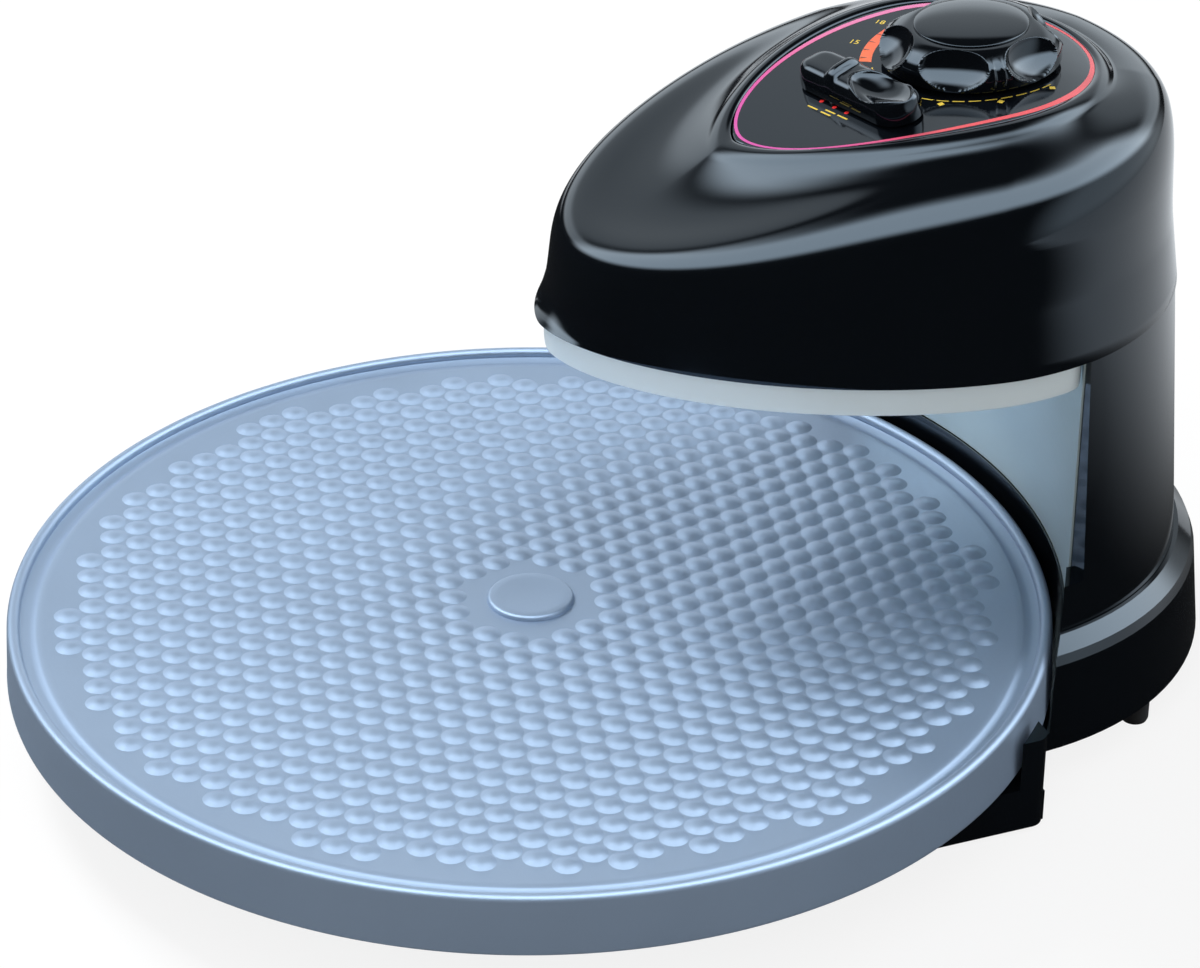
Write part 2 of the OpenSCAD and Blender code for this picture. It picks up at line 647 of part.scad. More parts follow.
/* The moulded head: rings of points climb the outside, roll over the collar to the panel's ledge,
   and return inside */
ledge_w = 4;
ramp = 120;
collar_ramp = 60;
shoulder_span = 200;
shoulder_mid = 0.4;
steps = 12;
function at01(y, span) = min(1, max(0, y / span));
function wall_top(y) = head_z + wall_nose_h + (wall_back_h - wall_nose_h) * at01(y, ramp);
function collar_h(y) = collar_nose_h + (collar_back_h - collar_nose_h) * at01(y - collar_nose, collar_ramp);
function along(v, y) = lookup(at01(y, shoulder_span), [[0, v[0]], [shoulder_mid, v[1]], [1, v[2]]]);
function with_z(loop, z) = [for (p = loop) [p.x, p.y, z]];
function on_plane(loop, dz) = [for (p = loop) [p.x, p.y, panel_z(p.y) + dz]];
/* One ring of the shoulder: u climbs from the wall's top to the collar's foot, d goes inwards */
function shoulder(u, d, drop) =
  let(low = wall_egg(d), high = collar_egg(d))
  [for (i = [0 : len(low) - 1]) let(
    a = low[i], b = high[i], v = 1 - u,
    reach = along(shoulder_reach, a.y), slope_in = along(shoulder_slope, a.y),
    t = 3 * u * u * v * (1 - reach) + pow(u, 3),
    f = 3 * u * v * v * along(shoulder_rise, a.y) + 3 * u * u * v * (1 - slope_in * reach) + pow(u, 3),
    z0 = wall_top(a.y), z1 = panel_z(b.y) - collar_h(b.y) - drop)
    [a.x + (b.x - a.x) * t, a.y + (b.y - a.y) * t, z0 + (z1 - z0) * f]];
/* One ring of the collar, u runs from its foot to the panel's edge and rise is its height above the panel */
function collar(u, share, rise) =
  let(low = collar_egg(0), high = panel_egg(0))
  [for (i = [0 : len(low) - 1]) let(p = low[i] + (high[i] - low[i]) * u)
    [p.x, p.y, panel_z(p.y) - collar_h(p.y) * share + rise]];
panel_drop = panel_t + 2 * seat;
shell_under = panel_drop + wall;
inner_drop = wall - 0.2;
head_rings = concat(
  [with_z(head_egg(0), head_z), [for (p = wall_egg(0)) [p.x, p.y, wall_top(p.y)]]],
  [for (i = [1 : steps]) shoulder(i / steps, 0, 0)],
  [collar(0.12, 0.7, 0.1), collar(0.32, 0.25, 0.5), collar(0.6, 0, 0.9), collar(0.86, 0, 0.7)],
  [on_plane(panel_egg(0), 0), on_plane(panel_egg(0), -panel_drop)],
  [on_plane(panel_egg(ledge_w), -panel_drop), on_plane(panel_egg(ledge_w), -shell_under)],
  [on_plane(panel_egg(-1), -shell_under - collar_back_h)],
  [for (i = [steps : -1 : 1]) shoulder(i / steps, wall, inner_drop)],
  [[for (p = wall_egg(wall)) [p.x, p.y, wall_top(p.y) - 0.5]], with_z(head_egg(wall), head_z)]);
/* Joins a closed stack of closed rings into one solid */
module ring_solid(rings) {
  n = len(rings[0]);
  m = len(rings);
  polyhedron(
    points = [for (g = rings) for (p = g) p],
    faces = [for (j = [0 : m - 1]) for (i = [0 : n - 1])
      let(a = j * n + i, b = j * n + (i + 1) % n, c = (j + 1) % m * n + (i + 1) % n, d = (j + 1) % m * n + i)
      for (f = [[a, c, b], [a, d, c]]) f]);
}
module head_shell() color(black) at_axis() ring_solid(head_rings);

/* The panel and its controls */
bushing_d = 9.6;
module control_panel() color("#1c1f26") at_axis() difference() {
  intersection() {
    linear_extrude(tall) polygon(panel_egg(seat));
    translate([-60, crown_y, crown_z]) rotate([90, 0, 90]) tube_fine(crown_r, crown_r - panel_t, 120);
  }
  for (y = [timer_y, selector_y]) on_panel(y) translate([0, 0, -10])
    cylinder(d = bushing_d + 2 * slip, h = 20);
}
timer_h = 22;
timer_d = 44;
under_r = crown_r - panel_t;
/* How far the crowned panel's underside falls away by the edge of the timer's body */
crown_sag = under_r - sqrt(pow(under_r, 2) - pow(timer_d / 2, 2));
body_top = -panel_t - seat - crown_sag;
bell_t = 1;
bell_w = 31;
bell_h = 7;
bell_gap = 10;
nut_z = 0.1;
nut_d = 15.6;
nut_t = 2.6;
bush_top = 4.5;
flat_z = 5.5;
module timer_body() color("#b7bcc0") at_axis() on_panel(timer_y) difference() {
  union() {
    translate([0, 0, body_top - timer_h]) cylinder(d = timer_d, h = timer_h);
    translate([0, 0, body_top - 1]) cylinder(d = bushing_d, h = 1 - body_top + bush_top);
    for (a = [45 : 90 : 315]) rotate([0, 0, a]) translate([timer_d / 2 - 5, 0, body_top - timer_h - 1.5])
      cylinder(d = 4, h = 2);
  }
  translate([0, 0, shaft_foot]) cylinder(r = control_d / 2 + run, h = 60);
}
shaft_foot = body_top - 14;
/* Half section of the bell's dome, or of its hollow */
module bell_2d(d) polygon([[0, 0.8 + d], [bell_w / 3 - d / 2, 0.8 + d], [bell_w / 2 - 2 - d, 1.8 + d],
  [bell_w / 2 - 0.5 - d, 4 + d / 3], [bell_w / 2 - d, bell_h + d], [0, bell_h + d]]);
bell_z = body_top - timer_h - bell_gap;
module timer_bell() color(steel) at_axis() on_panel(timer_y) translate([0, 0, bell_z]) difference() {
  union() {
    rotate_extrude() difference() {
      bell_2d(0);
      bell_2d(bell_t);
    }
    cylinder(d = 5, h = bell_gap - seat);
  }
  translate([0, 0, -1]) cylinder(d = 2, h = 6);
}
module control_nut() translate([0, 0, nut_z]) difference() {
  cylinder(d = nut_d, h = nut_t, $fn = 6);
  translate([0, 0, -1]) cylinder(d = bushing_d + 2 * slip, h = 6);
}
module timer_nut() color("#8d9296") at_axis() on_panel(timer_y) control_nut();
module selector_nut() color("#8d9296") at_axis() on_panel(selector_y) control_nut();
module d_shaft(top) difference() {
  translate([0, 0, shaft_foot + seat]) cylinder(d = control_d, h = top - shaft_foot - seat);
  translate([control_d / 4, -5, flat_z]) cube([10, 10, 30]);
}
module timer_shaft() color(steel) at_axis() on_panel(timer_y) d_shaft(timer_knob_h - 4);
module selector_shaft() color(steel) at_axis() on_panel(selector_y) d_shaft(lever_h - 1);
selector_l = 28;
selector_w = 22;
selector_h = 20;
module selector_switch() color("#cfc8b8") at_axis() on_panel(selector_y) difference() {
  union() {
    translate([-selector_l / 2, -selector_w / 2, body_top - selector_h])
      cube([selector_l, selector_w, selector_h]);
    translate([0, 0, body_top - 1]) cylinder(d = bushing_d, h = 1 - body_top + bush_top);
    for (x = [-9, -3, 3, 9]) translate([x - 0.4, -3, body_top - selector_h - 7]) cube([0.8, 6, 7 + eps]);
  }
  translate([0, 0, shaft_foot]) cylinder(r = control_d / 2 + run, h = 60);
}
knob_gap = 0.8;
dome_h = 1.8;
knob_r = timer_knob_d / 2;
top_r = timer_top_d / 2;
flare_w = knob_r - 1.5 - top_r;
flare_h = timer_knob_h - dome_h - 4.3;
/* Section of the timer knob: a foot flange, a hollow flare and a flat top with a soft edge */
module timer_knob() color(black) at_axis() on_panel(timer_y) difference() {
  union() {
    rotate_extrude() polygon(concat(
      [[0, knob_gap], [knob_r, knob_gap], [knob_r, 2.4], [knob_r - 0.6, 3.4]],
      [for (a = [0 : 10 : 90]) [top_r + 0.3 + flare_w * pow(cos(a), 1.15), 4 + flare_h * sin(a)]],
      [for (r = [6 : -1 : 0]) [top_r * r / 6, timer_knob_h - dome_h * pow(r / 6, 2)]]));
    for (s = [-1, 1]) rotate([0, 0, pointer_a + 5 * s]) translate([top_r + 1, -0.5, 3])
      cube([knob_r - top_r - 2.4, 1, timer_knob_h - 7]);
  }
  for (i = [0 : dishes - 1]) rotate([0, 0, pointer_a + 360 * (i + 0.5) / dishes])
    translate([knob_r + 7, 0, timer_knob_h * 0.64]) sphere(r = 11);
  difference() {
    translate([0, 0, knob_gap - 1]) cylinder(r = top_r - 3, h = timer_knob_h - knob_gap - dome_h - 0.5);
    translate([0, 0, 5.5]) cylinder(r = control_d / 2 + 3, h = 40);
    for (a = [0, 90]) rotate([0, 0, a]) translate([-40, -0.8, 8]) cube([80, 1.6, 40]);
  }
  shaft_hole(timer_knob_h - 4 + seat);
}
pointer_a = -8;
/* The D shaped blind hole in a knob */
module shaft_hole(top) difference() {
  cylinder(r = control_d / 2 + run, h = top);
  translate([control_d / 4 + run, -5, flat_z + seat]) cube([10, 10, 30]);
}
lever_a = 15;
/* Plan of the selector: its round short end and its wing, joined by straight flanks */
module lever_2d(d) {
  low = bulb_w / 2 - d;
  high = wing_w / 2 - d;
  from = bulb_w / 2 - bulb_l;
  to = wing_l - wing_w / 2;
  lean = (high - low) / (to - from);
  side = 0.99 * sqrt(1 - lean * lean);
  translate([from, 0]) circle(r = low);
  translate([to, 0]) circle(r = high);
  polygon([[from - low * lean, low * side], [to - high * lean, high * side],
    [to - high * lean, -high * side], [from - low * lean, -low * side]]);
}
fin_w = 3.2;
fin_h = 2;
dish_r = 11.5;
dish_deep = 1.6;
edge_soft = 0.8;
module selector_knob() color(black) at_axis() on_panel(selector_y) rotate([0, 0, lever_a]) difference() {
  union() {
    translate([0, 0, knob_gap]) linear_extrude(lever_h - knob_gap - 2) lever_2d(0);
    translate([0, 0, lever_h - 2 - eps]) linear_extrude(2 - edge_soft) lever_2d(edge_soft);
    translate([0, 0, lever_h - edge_soft - 2 * eps]) linear_extrude(edge_soft) lever_2d(2.5 * edge_soft);
    translate([0, 0, knob_gap]) cylinder(d = nut_d + 2 * seat + 3, h = lever_h - knob_gap);
    intersection() {
      translate([-fin_w / 2, -wing_w / 2, lever_h - 1]) cube([fin_w, wing_w, 2 * fin_h]);
      translate([0, 0, lever_h + fin_h - 10]) rotate([0, 90, 0]) cylinder(r = 10, h = 20, center = true);
    }
  }
  translate([wing_l - wing_w / 2 - 3, 0, lever_h + dish_r - dish_deep]) sphere(r = dish_r);
  translate([0, 0, -1]) cylinder(r = nut_d / 2 + seat, h = 1 + nut_z + bush_top + seat);
  rotate([0, 0, -lever_a]) shaft_hole(lever_h - 1 + seat);
}

/* The pan: one sheet with a groove, a rolled bead and a plain skirt */
rivet_d = 6;
pan_hole = rivet_d / 2 + run;
band_r = pan_r - bead_w - step_w;
bead_r = bead_w / 2;
socket_z = hub_z + hub_t + seat;
socket_d = key_d + 14;
module pan() color("#98b1cb") at_axis() rotate_extrude($fn = 144) polygon(concat(
  [[pan_hole, floor_z], [band_r, floor_z], [band_r + 1, floor_z - 0.7], [band_r + 2.6, floor_z - 0.7]],
  [for (a = [180 : -20 : 0]) [pan_r - bead_r + bead_r * cos(a), rim_z - bead_r + bead_r * sin(a)]],
  [[pan_out_r, skirt_lift], [pan_out_r - pan_sheet, skirt_lift]],
  [[pan_r - pan_sheet, rim_z - bead_w], [pan_r - bead_w - 0.4, floor_z - 0.7 - pan_sheet]],
  [[band_r, floor_z - 0.7 - pan_sheet], [band_r - 1, floor_z - pan_sheet], [pan_hole, floor_z - pan_sheet]]));
module pan_cap() color("#a9bed2") at_axis() {
  translate([0, 0, floor_z + snug]) rotate_extrude() polygon(concat([[0, 0], [cap_d / 2, 0]],
    [for (a = [0 : 15 : 90]) [cap_d / 2 - 1.2 + 1.2 * cos(a), 0.3 + (cap_h - 0.3) * sin(a)]], [[0, cap_h]]));
  translate([0, 0, socket_top - 1.5]) cylinder(d = rivet_d, h = floor_z + snug + eps - socket_top + 1.5);
}
socket_top = floor_z - pan_sheet - snug;
module pan_socket() color("#8d9296") at_axis() difference() {
  translate([0, 0, socket_z]) cylinder(d = socket_d, h = socket_top - socket_z);
  translate([0, 0, socket_z - 1]) cylinder(d = key_d + 0.5, h = key_h + 1 + seat, $fn = 6);
  cylinder(d = rivet_d + 2 * run, h = 100);
}

base_housing();
base_plate();
rear_plate();
rear_feet();
front_pads();
base_screws();
drive_motor();
motor_screws();
drive_shaft();
drive_hub();
lower_reflector();
lower_element();
lower_clips();
reset_button();
reset_switch();
cord_grommet();
terminal_block();
column_shell();
column_liner();
column_frame();
column_screws();
upper_reflector();
upper_element();
upper_clips();
thermal_cutout();
head_bracket();
head_shell();
control_panel();
timer_body();
timer_bell();
timer_nut();
timer_shaft();
timer_knob();
selector_switch();
selector_nut();
selector_shaft();
selector_knob();
pan();
pan_cap();
pan_socket();
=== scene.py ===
import json
import math

import bmesh
import bpy
import numpy as np
from mathutils import Matrix, Vector


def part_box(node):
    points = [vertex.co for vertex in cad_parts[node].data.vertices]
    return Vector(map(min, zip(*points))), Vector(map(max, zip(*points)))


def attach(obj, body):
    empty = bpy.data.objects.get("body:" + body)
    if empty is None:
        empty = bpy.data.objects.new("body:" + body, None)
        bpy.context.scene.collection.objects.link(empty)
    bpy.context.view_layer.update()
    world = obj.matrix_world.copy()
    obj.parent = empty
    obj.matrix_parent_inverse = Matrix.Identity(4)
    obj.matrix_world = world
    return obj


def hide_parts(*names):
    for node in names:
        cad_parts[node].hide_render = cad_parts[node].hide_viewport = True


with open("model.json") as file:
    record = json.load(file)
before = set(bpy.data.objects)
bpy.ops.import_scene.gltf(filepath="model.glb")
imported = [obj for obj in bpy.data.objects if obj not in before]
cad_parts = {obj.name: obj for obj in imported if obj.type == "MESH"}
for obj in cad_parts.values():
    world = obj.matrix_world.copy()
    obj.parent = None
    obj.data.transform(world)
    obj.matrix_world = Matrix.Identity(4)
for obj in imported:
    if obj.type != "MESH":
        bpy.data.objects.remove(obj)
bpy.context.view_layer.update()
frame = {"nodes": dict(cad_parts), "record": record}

# Sizes, in millimetres. Lengths that the frame gives are read from it
MM = 0.001


def low(node, axis):
    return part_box(node)[0][axis] / MM


def high(node, axis):
    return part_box(node)[1][axis] / MM


PAN_AXIS_Y = (low("drive_shaft", 1) + high("drive_shaft", 1)) / 2
RIM_Z = high("pan", 2)
PAN_OUT_R = high("pan", 0)
PAN_R = PAN_OUT_R - 1
SKIRT_Z = low("pan", 2)
CAP_R = high("pan_cap", 0)
FLOOR_DROP = 3
FLOOR_Z = RIM_Z - FLOOR_DROP
HEAD_Z = low("head_shell", 2)
HEAD_HALF_W = high("head_shell", 0)
HEAD_NOSE_Y = low("head_shell", 1) - PAN_AXIS_Y
COLUMN_Y = high("head_shell", 1) - PAN_AXIS_Y - HEAD_HALF_W
TRAY_R = 167.9
HEAD_FULL = 1.66
TOP_FULL = 1.98
HEAD_LEAN = 6.4
WALL_NOSE_H = 0.6
WALL_BACK_H = 28.4
WALL_RAMP = 120
SHOULDER_SPAN = 200
SHOULDER_RISE = (0.95, 0.97, 0.93)
SHOULDER_REACH = (0.87, 0.07, 0.82)
SHOULDER_SLOPE = (0.77, 0.79, 0.02)
CROWN_R = 294
CROWN_Y = 160.5
CROWN_Z = RIM_Z + 161.9 - CROWN_R
COLLAR_NOSE = 57
COLLAR_Y = 135
COLLAR_R = 53.5
COLLAR_NOSE_H = 1
COLLAR_BACK_H = 1.4
COLLAR_RAMP = 60
PANEL_NOSE = 66.5
PANEL_Y = 137.5
PANEL_R = 44.8
PANEL_SEAT = 0.3
PANEL_DROP = 3
PANEL_T = 2.4
SHELL_T = 2.6
TIMER_Y = 145.5
SELECTOR_Y = 103.5
KNOB_H = 13.5
KNOB_R = 28
KNOB_TOP_R = 18
DOME_H = 1.8
KNOB_GAP = 0.8
POINTER_A = math.radians(-8)
DISHES = 6
WING_L = 32
WING_W = 16
BULB_L = 17.5
BULB_W = 15
LEVER_H = 9
LEVER_A = math.radians(15)


# Shader graphs
class Value:
    """One output of a shader node, or a number, that takes part in sums."""

    def __init__(self, graph, socket):
        self.graph = graph
        self.socket = socket

    def sum(self, operation, other, swapped=False):
        pair = [other, self] if swapped else [self, other]
        return self.graph.node("ShaderNodeMath", {"operation": operation}, dict(enumerate(pair)))

    def __add__(self, other):
        return self.sum("ADD", other)

    def __radd__(self, other):
        return self.sum("ADD", other, True)

    def __sub__(self, other):
        return self.sum("SUBTRACT", other)

    def __rsub__(self, other):
        return self.sum("SUBTRACT", other, True)

    def __mul__(self, other):
        return self.sum("MULTIPLY", other)

    def __rmul__(self, other):
        return self.sum("MULTIPLY", other, True)

    def __truediv__(self, other):
        return self.sum("DIVIDE", other)

    def __gt__(self, other):
        return self.sum("GREATER_THAN", other)

    def __lt__(self, other):
        return self.sum("LESS_THAN", other)

    def __pow__(self, other):
        return self.sum("POWER", other)


class Graph:
    """The nodes of a material or of the world."""

    def __init__(self, owner):
        owner.use_nodes = True
        self.tree = owner.node_tree
        self.tree.nodes.clear()

    def node(self, kind, settings=None, inputs=None, output=0):
        made = self.tree.nodes.new(kind)
        for name, value in (settings or {}).items():
            if name == "stops":
                self.set_stops(made.color_ramp, value)
            else:
                setattr(made, name, value)
        for name, value in (inputs or {}).items():
            self.feed(made.inputs[name], value)
        return Value(self, made.outputs[output])

    def feed(self, socket, value):
        if isinstance(value, Value):
            self.tree.links.new(value.socket, socket)
        elif socket.type == "RGBA" and len(value) == 3:
            socket.default_value = (*value, 1)
        else:
            socket.default_value = value

    def set_stops(self, ramp, stops):
        while len(ramp.elements) > 1:
            ramp.elements.remove(ramp.elements[-1])
        for i, (place, colour) in enumerate(stops):
            stop = ramp.elements[0] if i == 0 else ramp.elements.new(place)
            stop.position = place
            stop.color = (*colour, 1)

    def places(self):
        return self.node("ShaderNodeTexCoord", output="Object")

    def noise(self, scale, detail=2, where=None, roughness=0.5):
        return self.node("ShaderNodeTexNoise", {}, {
            "Vector": where or self.places(), "Scale": scale, "Detail": detail, "Roughness": roughness})

    def ramp(self, factor, stops, mode="LINEAR"):
        made = self.node("ShaderNodeValToRGB", {"stops": stops}, {0: factor})
        made.socket.node.color_ramp.interpolation = mode
        return made

    def mix(self, factor, a, b):
        return self.node("ShaderNodeMix", {"data_type": "RGBA"}, {0: factor, 6: a, 7: b}, output=2)

    def step(self, value, low_end, high_end):
        """Runs smoothly from 0 at the low end to 1 at the high end."""
        return self.node("ShaderNodeMapRange", {"interpolation_type": "SMOOTHSTEP"},
                         {"Value": value, "From Min": low_end, "From Max": high_end})

    def bump(self, height, strength, distance):
        return self.node("ShaderNodeBump", {}, {"Height": height, "Strength": strength, "Distance": distance})

    def surface(self, inputs):
        shader = self.node("ShaderNodeBsdfPrincipled", {}, inputs)
        self.node_out(shader)

    def node_out(self, shader):
        out = self.tree.nodes.new("ShaderNodeOutputMaterial")
        self.tree.links.new(shader.socket, out.inputs["Surface"])


def new_graph(name):
    material = bpy.data.materials.new(name)
    return material, Graph(material)


GREY_BLUE = (0.72, 0.86, 1.0, 1)


def glossy_black(name, base, rough, ripple):
    """Black moulded plastic with a high polish: faint flow ripples, fine dust and a cool reflection."""
    material, g = new_graph(name)
    flow = g.noise(14, 3)
    fine = g.noise(900, 2)
    dust = g.noise(2600, 1) > 0.74
    g.surface({
        "Base Color": g.mix(flow * 0.5, base, tuple(1.6 * c for c in base)),
        "Roughness": rough + flow * 0.05 + dust * 0.12,
        "IOR": 1.52,
        "Specular Tint": GREY_BLUE,
        "Normal": g.bump(flow * ripple + fine * 0.004, 0.25, 0.0004)})
    return material


def brushed(name, base, rough, stretch, metallic=1.0):
    """Rolled or brushed sheet metal, its grain drawn along one direction."""
    material, g = new_graph(name)
    where = g.node("ShaderNodeMapping", {}, {"Vector": g.places(), "Scale": stretch})
    grain = g.noise(60, 4, where)
    cloud = g.noise(18, 3)
    g.surface({
        "Base Color": g.mix(cloud, tuple(0.9 * c for c in base), base),
        "Metallic": metallic,
        "Roughness": rough + grain * 0.12,
        "Normal": g.bump(grain, 0.12, 0.0002)})
    return material


def pan_coat(name):
    """Satin steel of the pan: a pale blue-grey sheen with a cloudy bake and a fine rolled grain."""
    material, g = new_graph(name)
    cloud = g.noise(9, 4)
    grain = g.noise(700, 3)
    scuff = g.noise(60, 5)
    g.surface({
        "Base Color": g.mix(cloud, (0.26, 0.34, 0.46), (0.32, 0.41, 0.54)),
        "Metallic": 0.55,
        "Roughness": 0.42 + scuff * 0.10,
        "Normal": g.bump(grain, 0.16, 0.0002)})
    return material


def plain_finish(name, base, rough, metallic, grain_scale, depth):
    """A moulded, plated or rubber piece with a fine surface grain."""
    material, g = new_graph(name)
    grain = g.noise(grain_scale, 3)
    cloud = g.noise(30, 2)
    g.surface({
        "Base Color": g.mix(cloud, tuple(0.8 * c for c in base), base),
        "Metallic": metallic,
        "Roughness": rough + grain * 0.1,
        "Normal": g.bump(grain, 0.2, depth)})
    return material


def heater_sheath(name):
    """Dark oxidised heater tube with straw and blue tints from the heat."""
    material, g = new_graph(name)
    tint = g.ramp(g.noise(24, 3), [(0.3, (0.045, 0.043, 0.045)), (0.55, (0.09, 0.075, 0.06)), (0.75, (0.05, 0.055, 0.08))])
    grain = g.noise(1200, 2)
    g.surface({"Base Color": tint, "Metallic": 0.7, "Roughness": 0.42 + grain * 0.15,
               "Normal": g.bump(grain, 0.2, 0.0001)})
    return material


def ink(name, front, back):
    """Printed ink that turns from one colour at the panel's nose to another at its back."""
    material, g = new_graph(name)
    y = g.node("ShaderNodeSeparateXYZ", {}, {0: g.places()}, output=1)
    share = (y - (COLLAR_NOSE + PAN_AXIS_Y) * MM) / ((COLLAR_Y + COLLAR_R - COLLAR_NOSE) * MM)
    g.surface({"Base Color": g.ramp(share, [(0.1, front), (0.75, back)]),
               "Roughness": 0.28 + g.noise(1500, 2) * 0.1})
    return material


def border_ink(name):
    """The border's ink: coral along the right and back, pink at the far left and magenta at the nose."""
    material, g = new_graph(name)
    x = g.node("ShaderNodeSeparateXYZ", {}, {0: g.places()})
    y = g.node("ShaderNodeSeparateXYZ", {}, {0: g.places()}, output=1)
    nose = (y - (COLLAR_NOSE + PAN_AXIS_Y) * MM) / (60 * MM)
    left = 0.5 - x / (60 * MM)
    coral, pink, magenta = (0.80, 0.10, 0.12), (0.75, 0.20, 0.42), (0.62, 0.08, 0.36)
    sides = g.mix(g.step(left, 0.75, 1.25), coral, pink)
    g.surface({"Base Color": g.mix(g.step(nose, 0.25, 1.1), magenta, sides),
               "Roughness": 0.28 + g.noise(1500, 2) * 0.1})
    return material


FINISH = {
    "shell_black": glossy_black("Glossy black shell", (0.0022, 0.0030, 0.0042), 0.07, 0.10),
    "knob_black": glossy_black("Glossy black knob", (0.0022, 0.0030, 0.0042), 0.05, 0.04),
    "panel_face": glossy_black("Panel face", (0.0028, 0.0040, 0.0060), 0.06, 1.6),
    "pan_metal": pan_coat("Pan metal"),
    "liner_metal": brushed("Liner metal", (0.56, 0.66, 0.66), 0.26, (1, 1, 14), 0.45),
    "lip_metal": brushed("Lip metal", (0.72, 0.80, 0.82), 0.30, (1, 1, 10), 0.25),
    "sheet_steel": brushed("Sheet steel", (0.52, 0.54, 0.55), 0.34, (1, 12, 1)),
    "fastener_steel": plain_finish("Plated screws", (0.50, 0.50, 0.48), 0.28, 1.0, 900, 0.0001),
    "heater_sheath": heater_sheath("Heater sheath"),
    "rubber_black": plain_finish("Black rubber", (0.016, 0.016, 0.017), 0.62, 0.0, 700, 0.0002),
    "plastic_black": plain_finish("Matt black plastic", (0.02, 0.02, 0.022), 0.45, 0.0, 800, 0.0002),
    "ceramic_white": plain_finish("Heat-proof moulding", (0.68, 0.64, 0.56), 0.5, 0.0, 500, 0.0002),
    "button_red": plain_finish("Dull red button", (0.30, 0.03, 0.025), 0.4, 0.0, 600, 0.0001),
}
INK = {
    "border": border_ink("Border ink"),
    "band": ink("Band ink", (0.95, 0.30, 0.05), (0.85, 0.06, 0.06)),
    "yellow": ink("Yellow ink", (0.85, 0.62, 0.08), (0.85, 0.62, 0.08)),
    "red": ink("Red ink", (0.8, 0.03, 0.03), (0.8, 0.03, 0.03)),
}


# Meshes
def new_mesh(name, points, faces, sharp=35):
    """An object from points in millimetres, measured from the pan's axis and the table."""
    mesh = bpy.data.meshes.new(name)
    at = (np.asarray(points, float) + [0, PAN_AXIS_Y, 0]) * MM
    mesh.from_pydata(at.tolist(), [], faces)
    mesh.validate()
    mesh.shade_smooth()
    mesh.set_sharp_from_angle(angle=math.radians(sharp))
    obj = bpy.data.objects.new(name, mesh)
    bpy.context.scene.collection.objects.link(obj)
    return obj


def dress(obj, material, body, stands_for=()):
    obj.data.materials.clear()
    obj.data.materials.append(material)
    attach(obj, body)
    if stands_for:
        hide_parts(*stands_for)
    return obj


def skin(rings, around=True, joined=False):
    """Faces over a stack of rings of equal length, all numbered ring by ring."""
    n = len(rings[0])
    m = len(rings)
    faces = []
    for j in range(m if joined else m - 1):
        for i in range(n if around else n - 1):
            k = (i + 1) % n
            up = (j + 1) % m
            faces.append((j * n + i, j * n + k, up * n + k, up * n + i))
    return faces


def corner_cut(rings, times):
    """Chaikin's corner cutting across a stack of rings, its two ends kept."""
    r = np.array(rings, float)
    for _ in range(times):
        a = r[:-1] * 0.75 + r[1:] * 0.25
        b = r[:-1] * 0.25 + r[1:] * 0.75
        mid = np.stack([a, b], 1).reshape(-1, *r.shape[1:])
        r = np.concatenate([r[:1], mid[1:-1], r[-1:]])
    return list(r)


def revolve(profile, segments=192):
    """Rings of a turned piece from (radius, height) pairs."""
    a = np.linspace(0, 2 * np.pi, segments, endpoint=False)
    return [np.stack([r * np.cos(a), r * np.sin(a), np.full(segments, z)], 1) for r, z in profile]


def turned(name, profile, segments=192, sharp=35):
    """A turned piece. A profile that starts or ends on the axis is closed there by one point."""
    inner = [p for p in profile if p[0] > 1e-6]
    rings = revolve(inner, segments)
    points = np.concatenate(rings)
    faces = skin(rings, joined=profile[0][0] > 1e-6 and profile[-1][0] > 1e-6)
    for end, first in ((profile[0], True), (profile[-1], False)):
        if end[0] > 1e-6:
            continue
        points = np.concatenate([points, [[0, 0, end[1]]]])
        tip = len(points) - 1
        base = 0 if first else (len(rings) - 1) * segments
        for i in range(segments):
            pair = (base + i, base + (i + 1) % segments)
            faces.append((tip, pair[1], pair[0]) if first else (tip, *pair))
    return new_mesh(name, points, faces, sharp)


def arc(cx, cz, r, start, end, steps=8):
    """(radius, height) pairs along a circle, angles in degrees."""
    a = np.radians(np.linspace(start, end, steps + 1))
    return [(cx + r * math.cos(t), cz + r * math.sin(t)) for t in a]


def flip_if_inside_out(obj):
    """Turns the faces outwards when the mesh's signed volume is negative."""
    volume = 0.0
    mesh = obj.data
    mesh.calc_loop_triangles()
    for tri in mesh.loop_triangles:
        a, b, c = (mesh.vertices[i].co for i in tri.vertices)
        volume += a.dot(b.cross(c))
    if volume < 0:
        mesh.flip_normals()
    return obj


# The head's plan and its shoulder
def egg(nose, centre, radius, p, q, quarter=80):
    """Plan points from the nose along +X round the back and home along -X."""
    a = np.linspace(0, np.pi / 2, quarter + 1)
    front = np.stack([radius * np.sin(a) ** (2 / q), centre - (centre - nose) * np.cos(a) ** (2 / p)], 1)
    back = np.stack([radius * np.cos(a[1:]), centre + radius * np.sin(a[1:])], 1)
    half = np.concatenate([front, back])
    return np.concatenate([half, half[-2:0:-1] * [-1, 1]])


def head_egg(inset):
    return egg(HEAD_NOSE_Y + inset, COLUMN_Y, HEAD_HALF_W - inset, HEAD_FULL, HEAD_FULL)


def wall_egg(inset):
    return egg(HEAD_NOSE_Y + HEAD_LEAN + inset, COLUMN_Y, HEAD_HALF_W - HEAD_LEAN - inset, TOP_FULL, TOP_FULL)


def wall_plan(inset):
    """The wall's top line: it leans in at the nose and the sides and stands nearly upright round the back."""
    back = np.clip((wall_egg(inset)[:, 1] - 40) / 110, 0, 1)
    share = (0.4 * back * back * (3 - 2 * back))[:, None]
    return wall_egg(inset) * (1 - share) + head_egg(inset) * share


def collar_egg(inset):
    return egg(COLLAR_NOSE + inset, COLLAR_Y, COLLAR_R - inset, 1.7, 1.45)


def panel_egg(inset):
    return egg(PANEL_NOSE + inset, PANEL_Y, PANEL_R - inset, 1.8, 1.6)


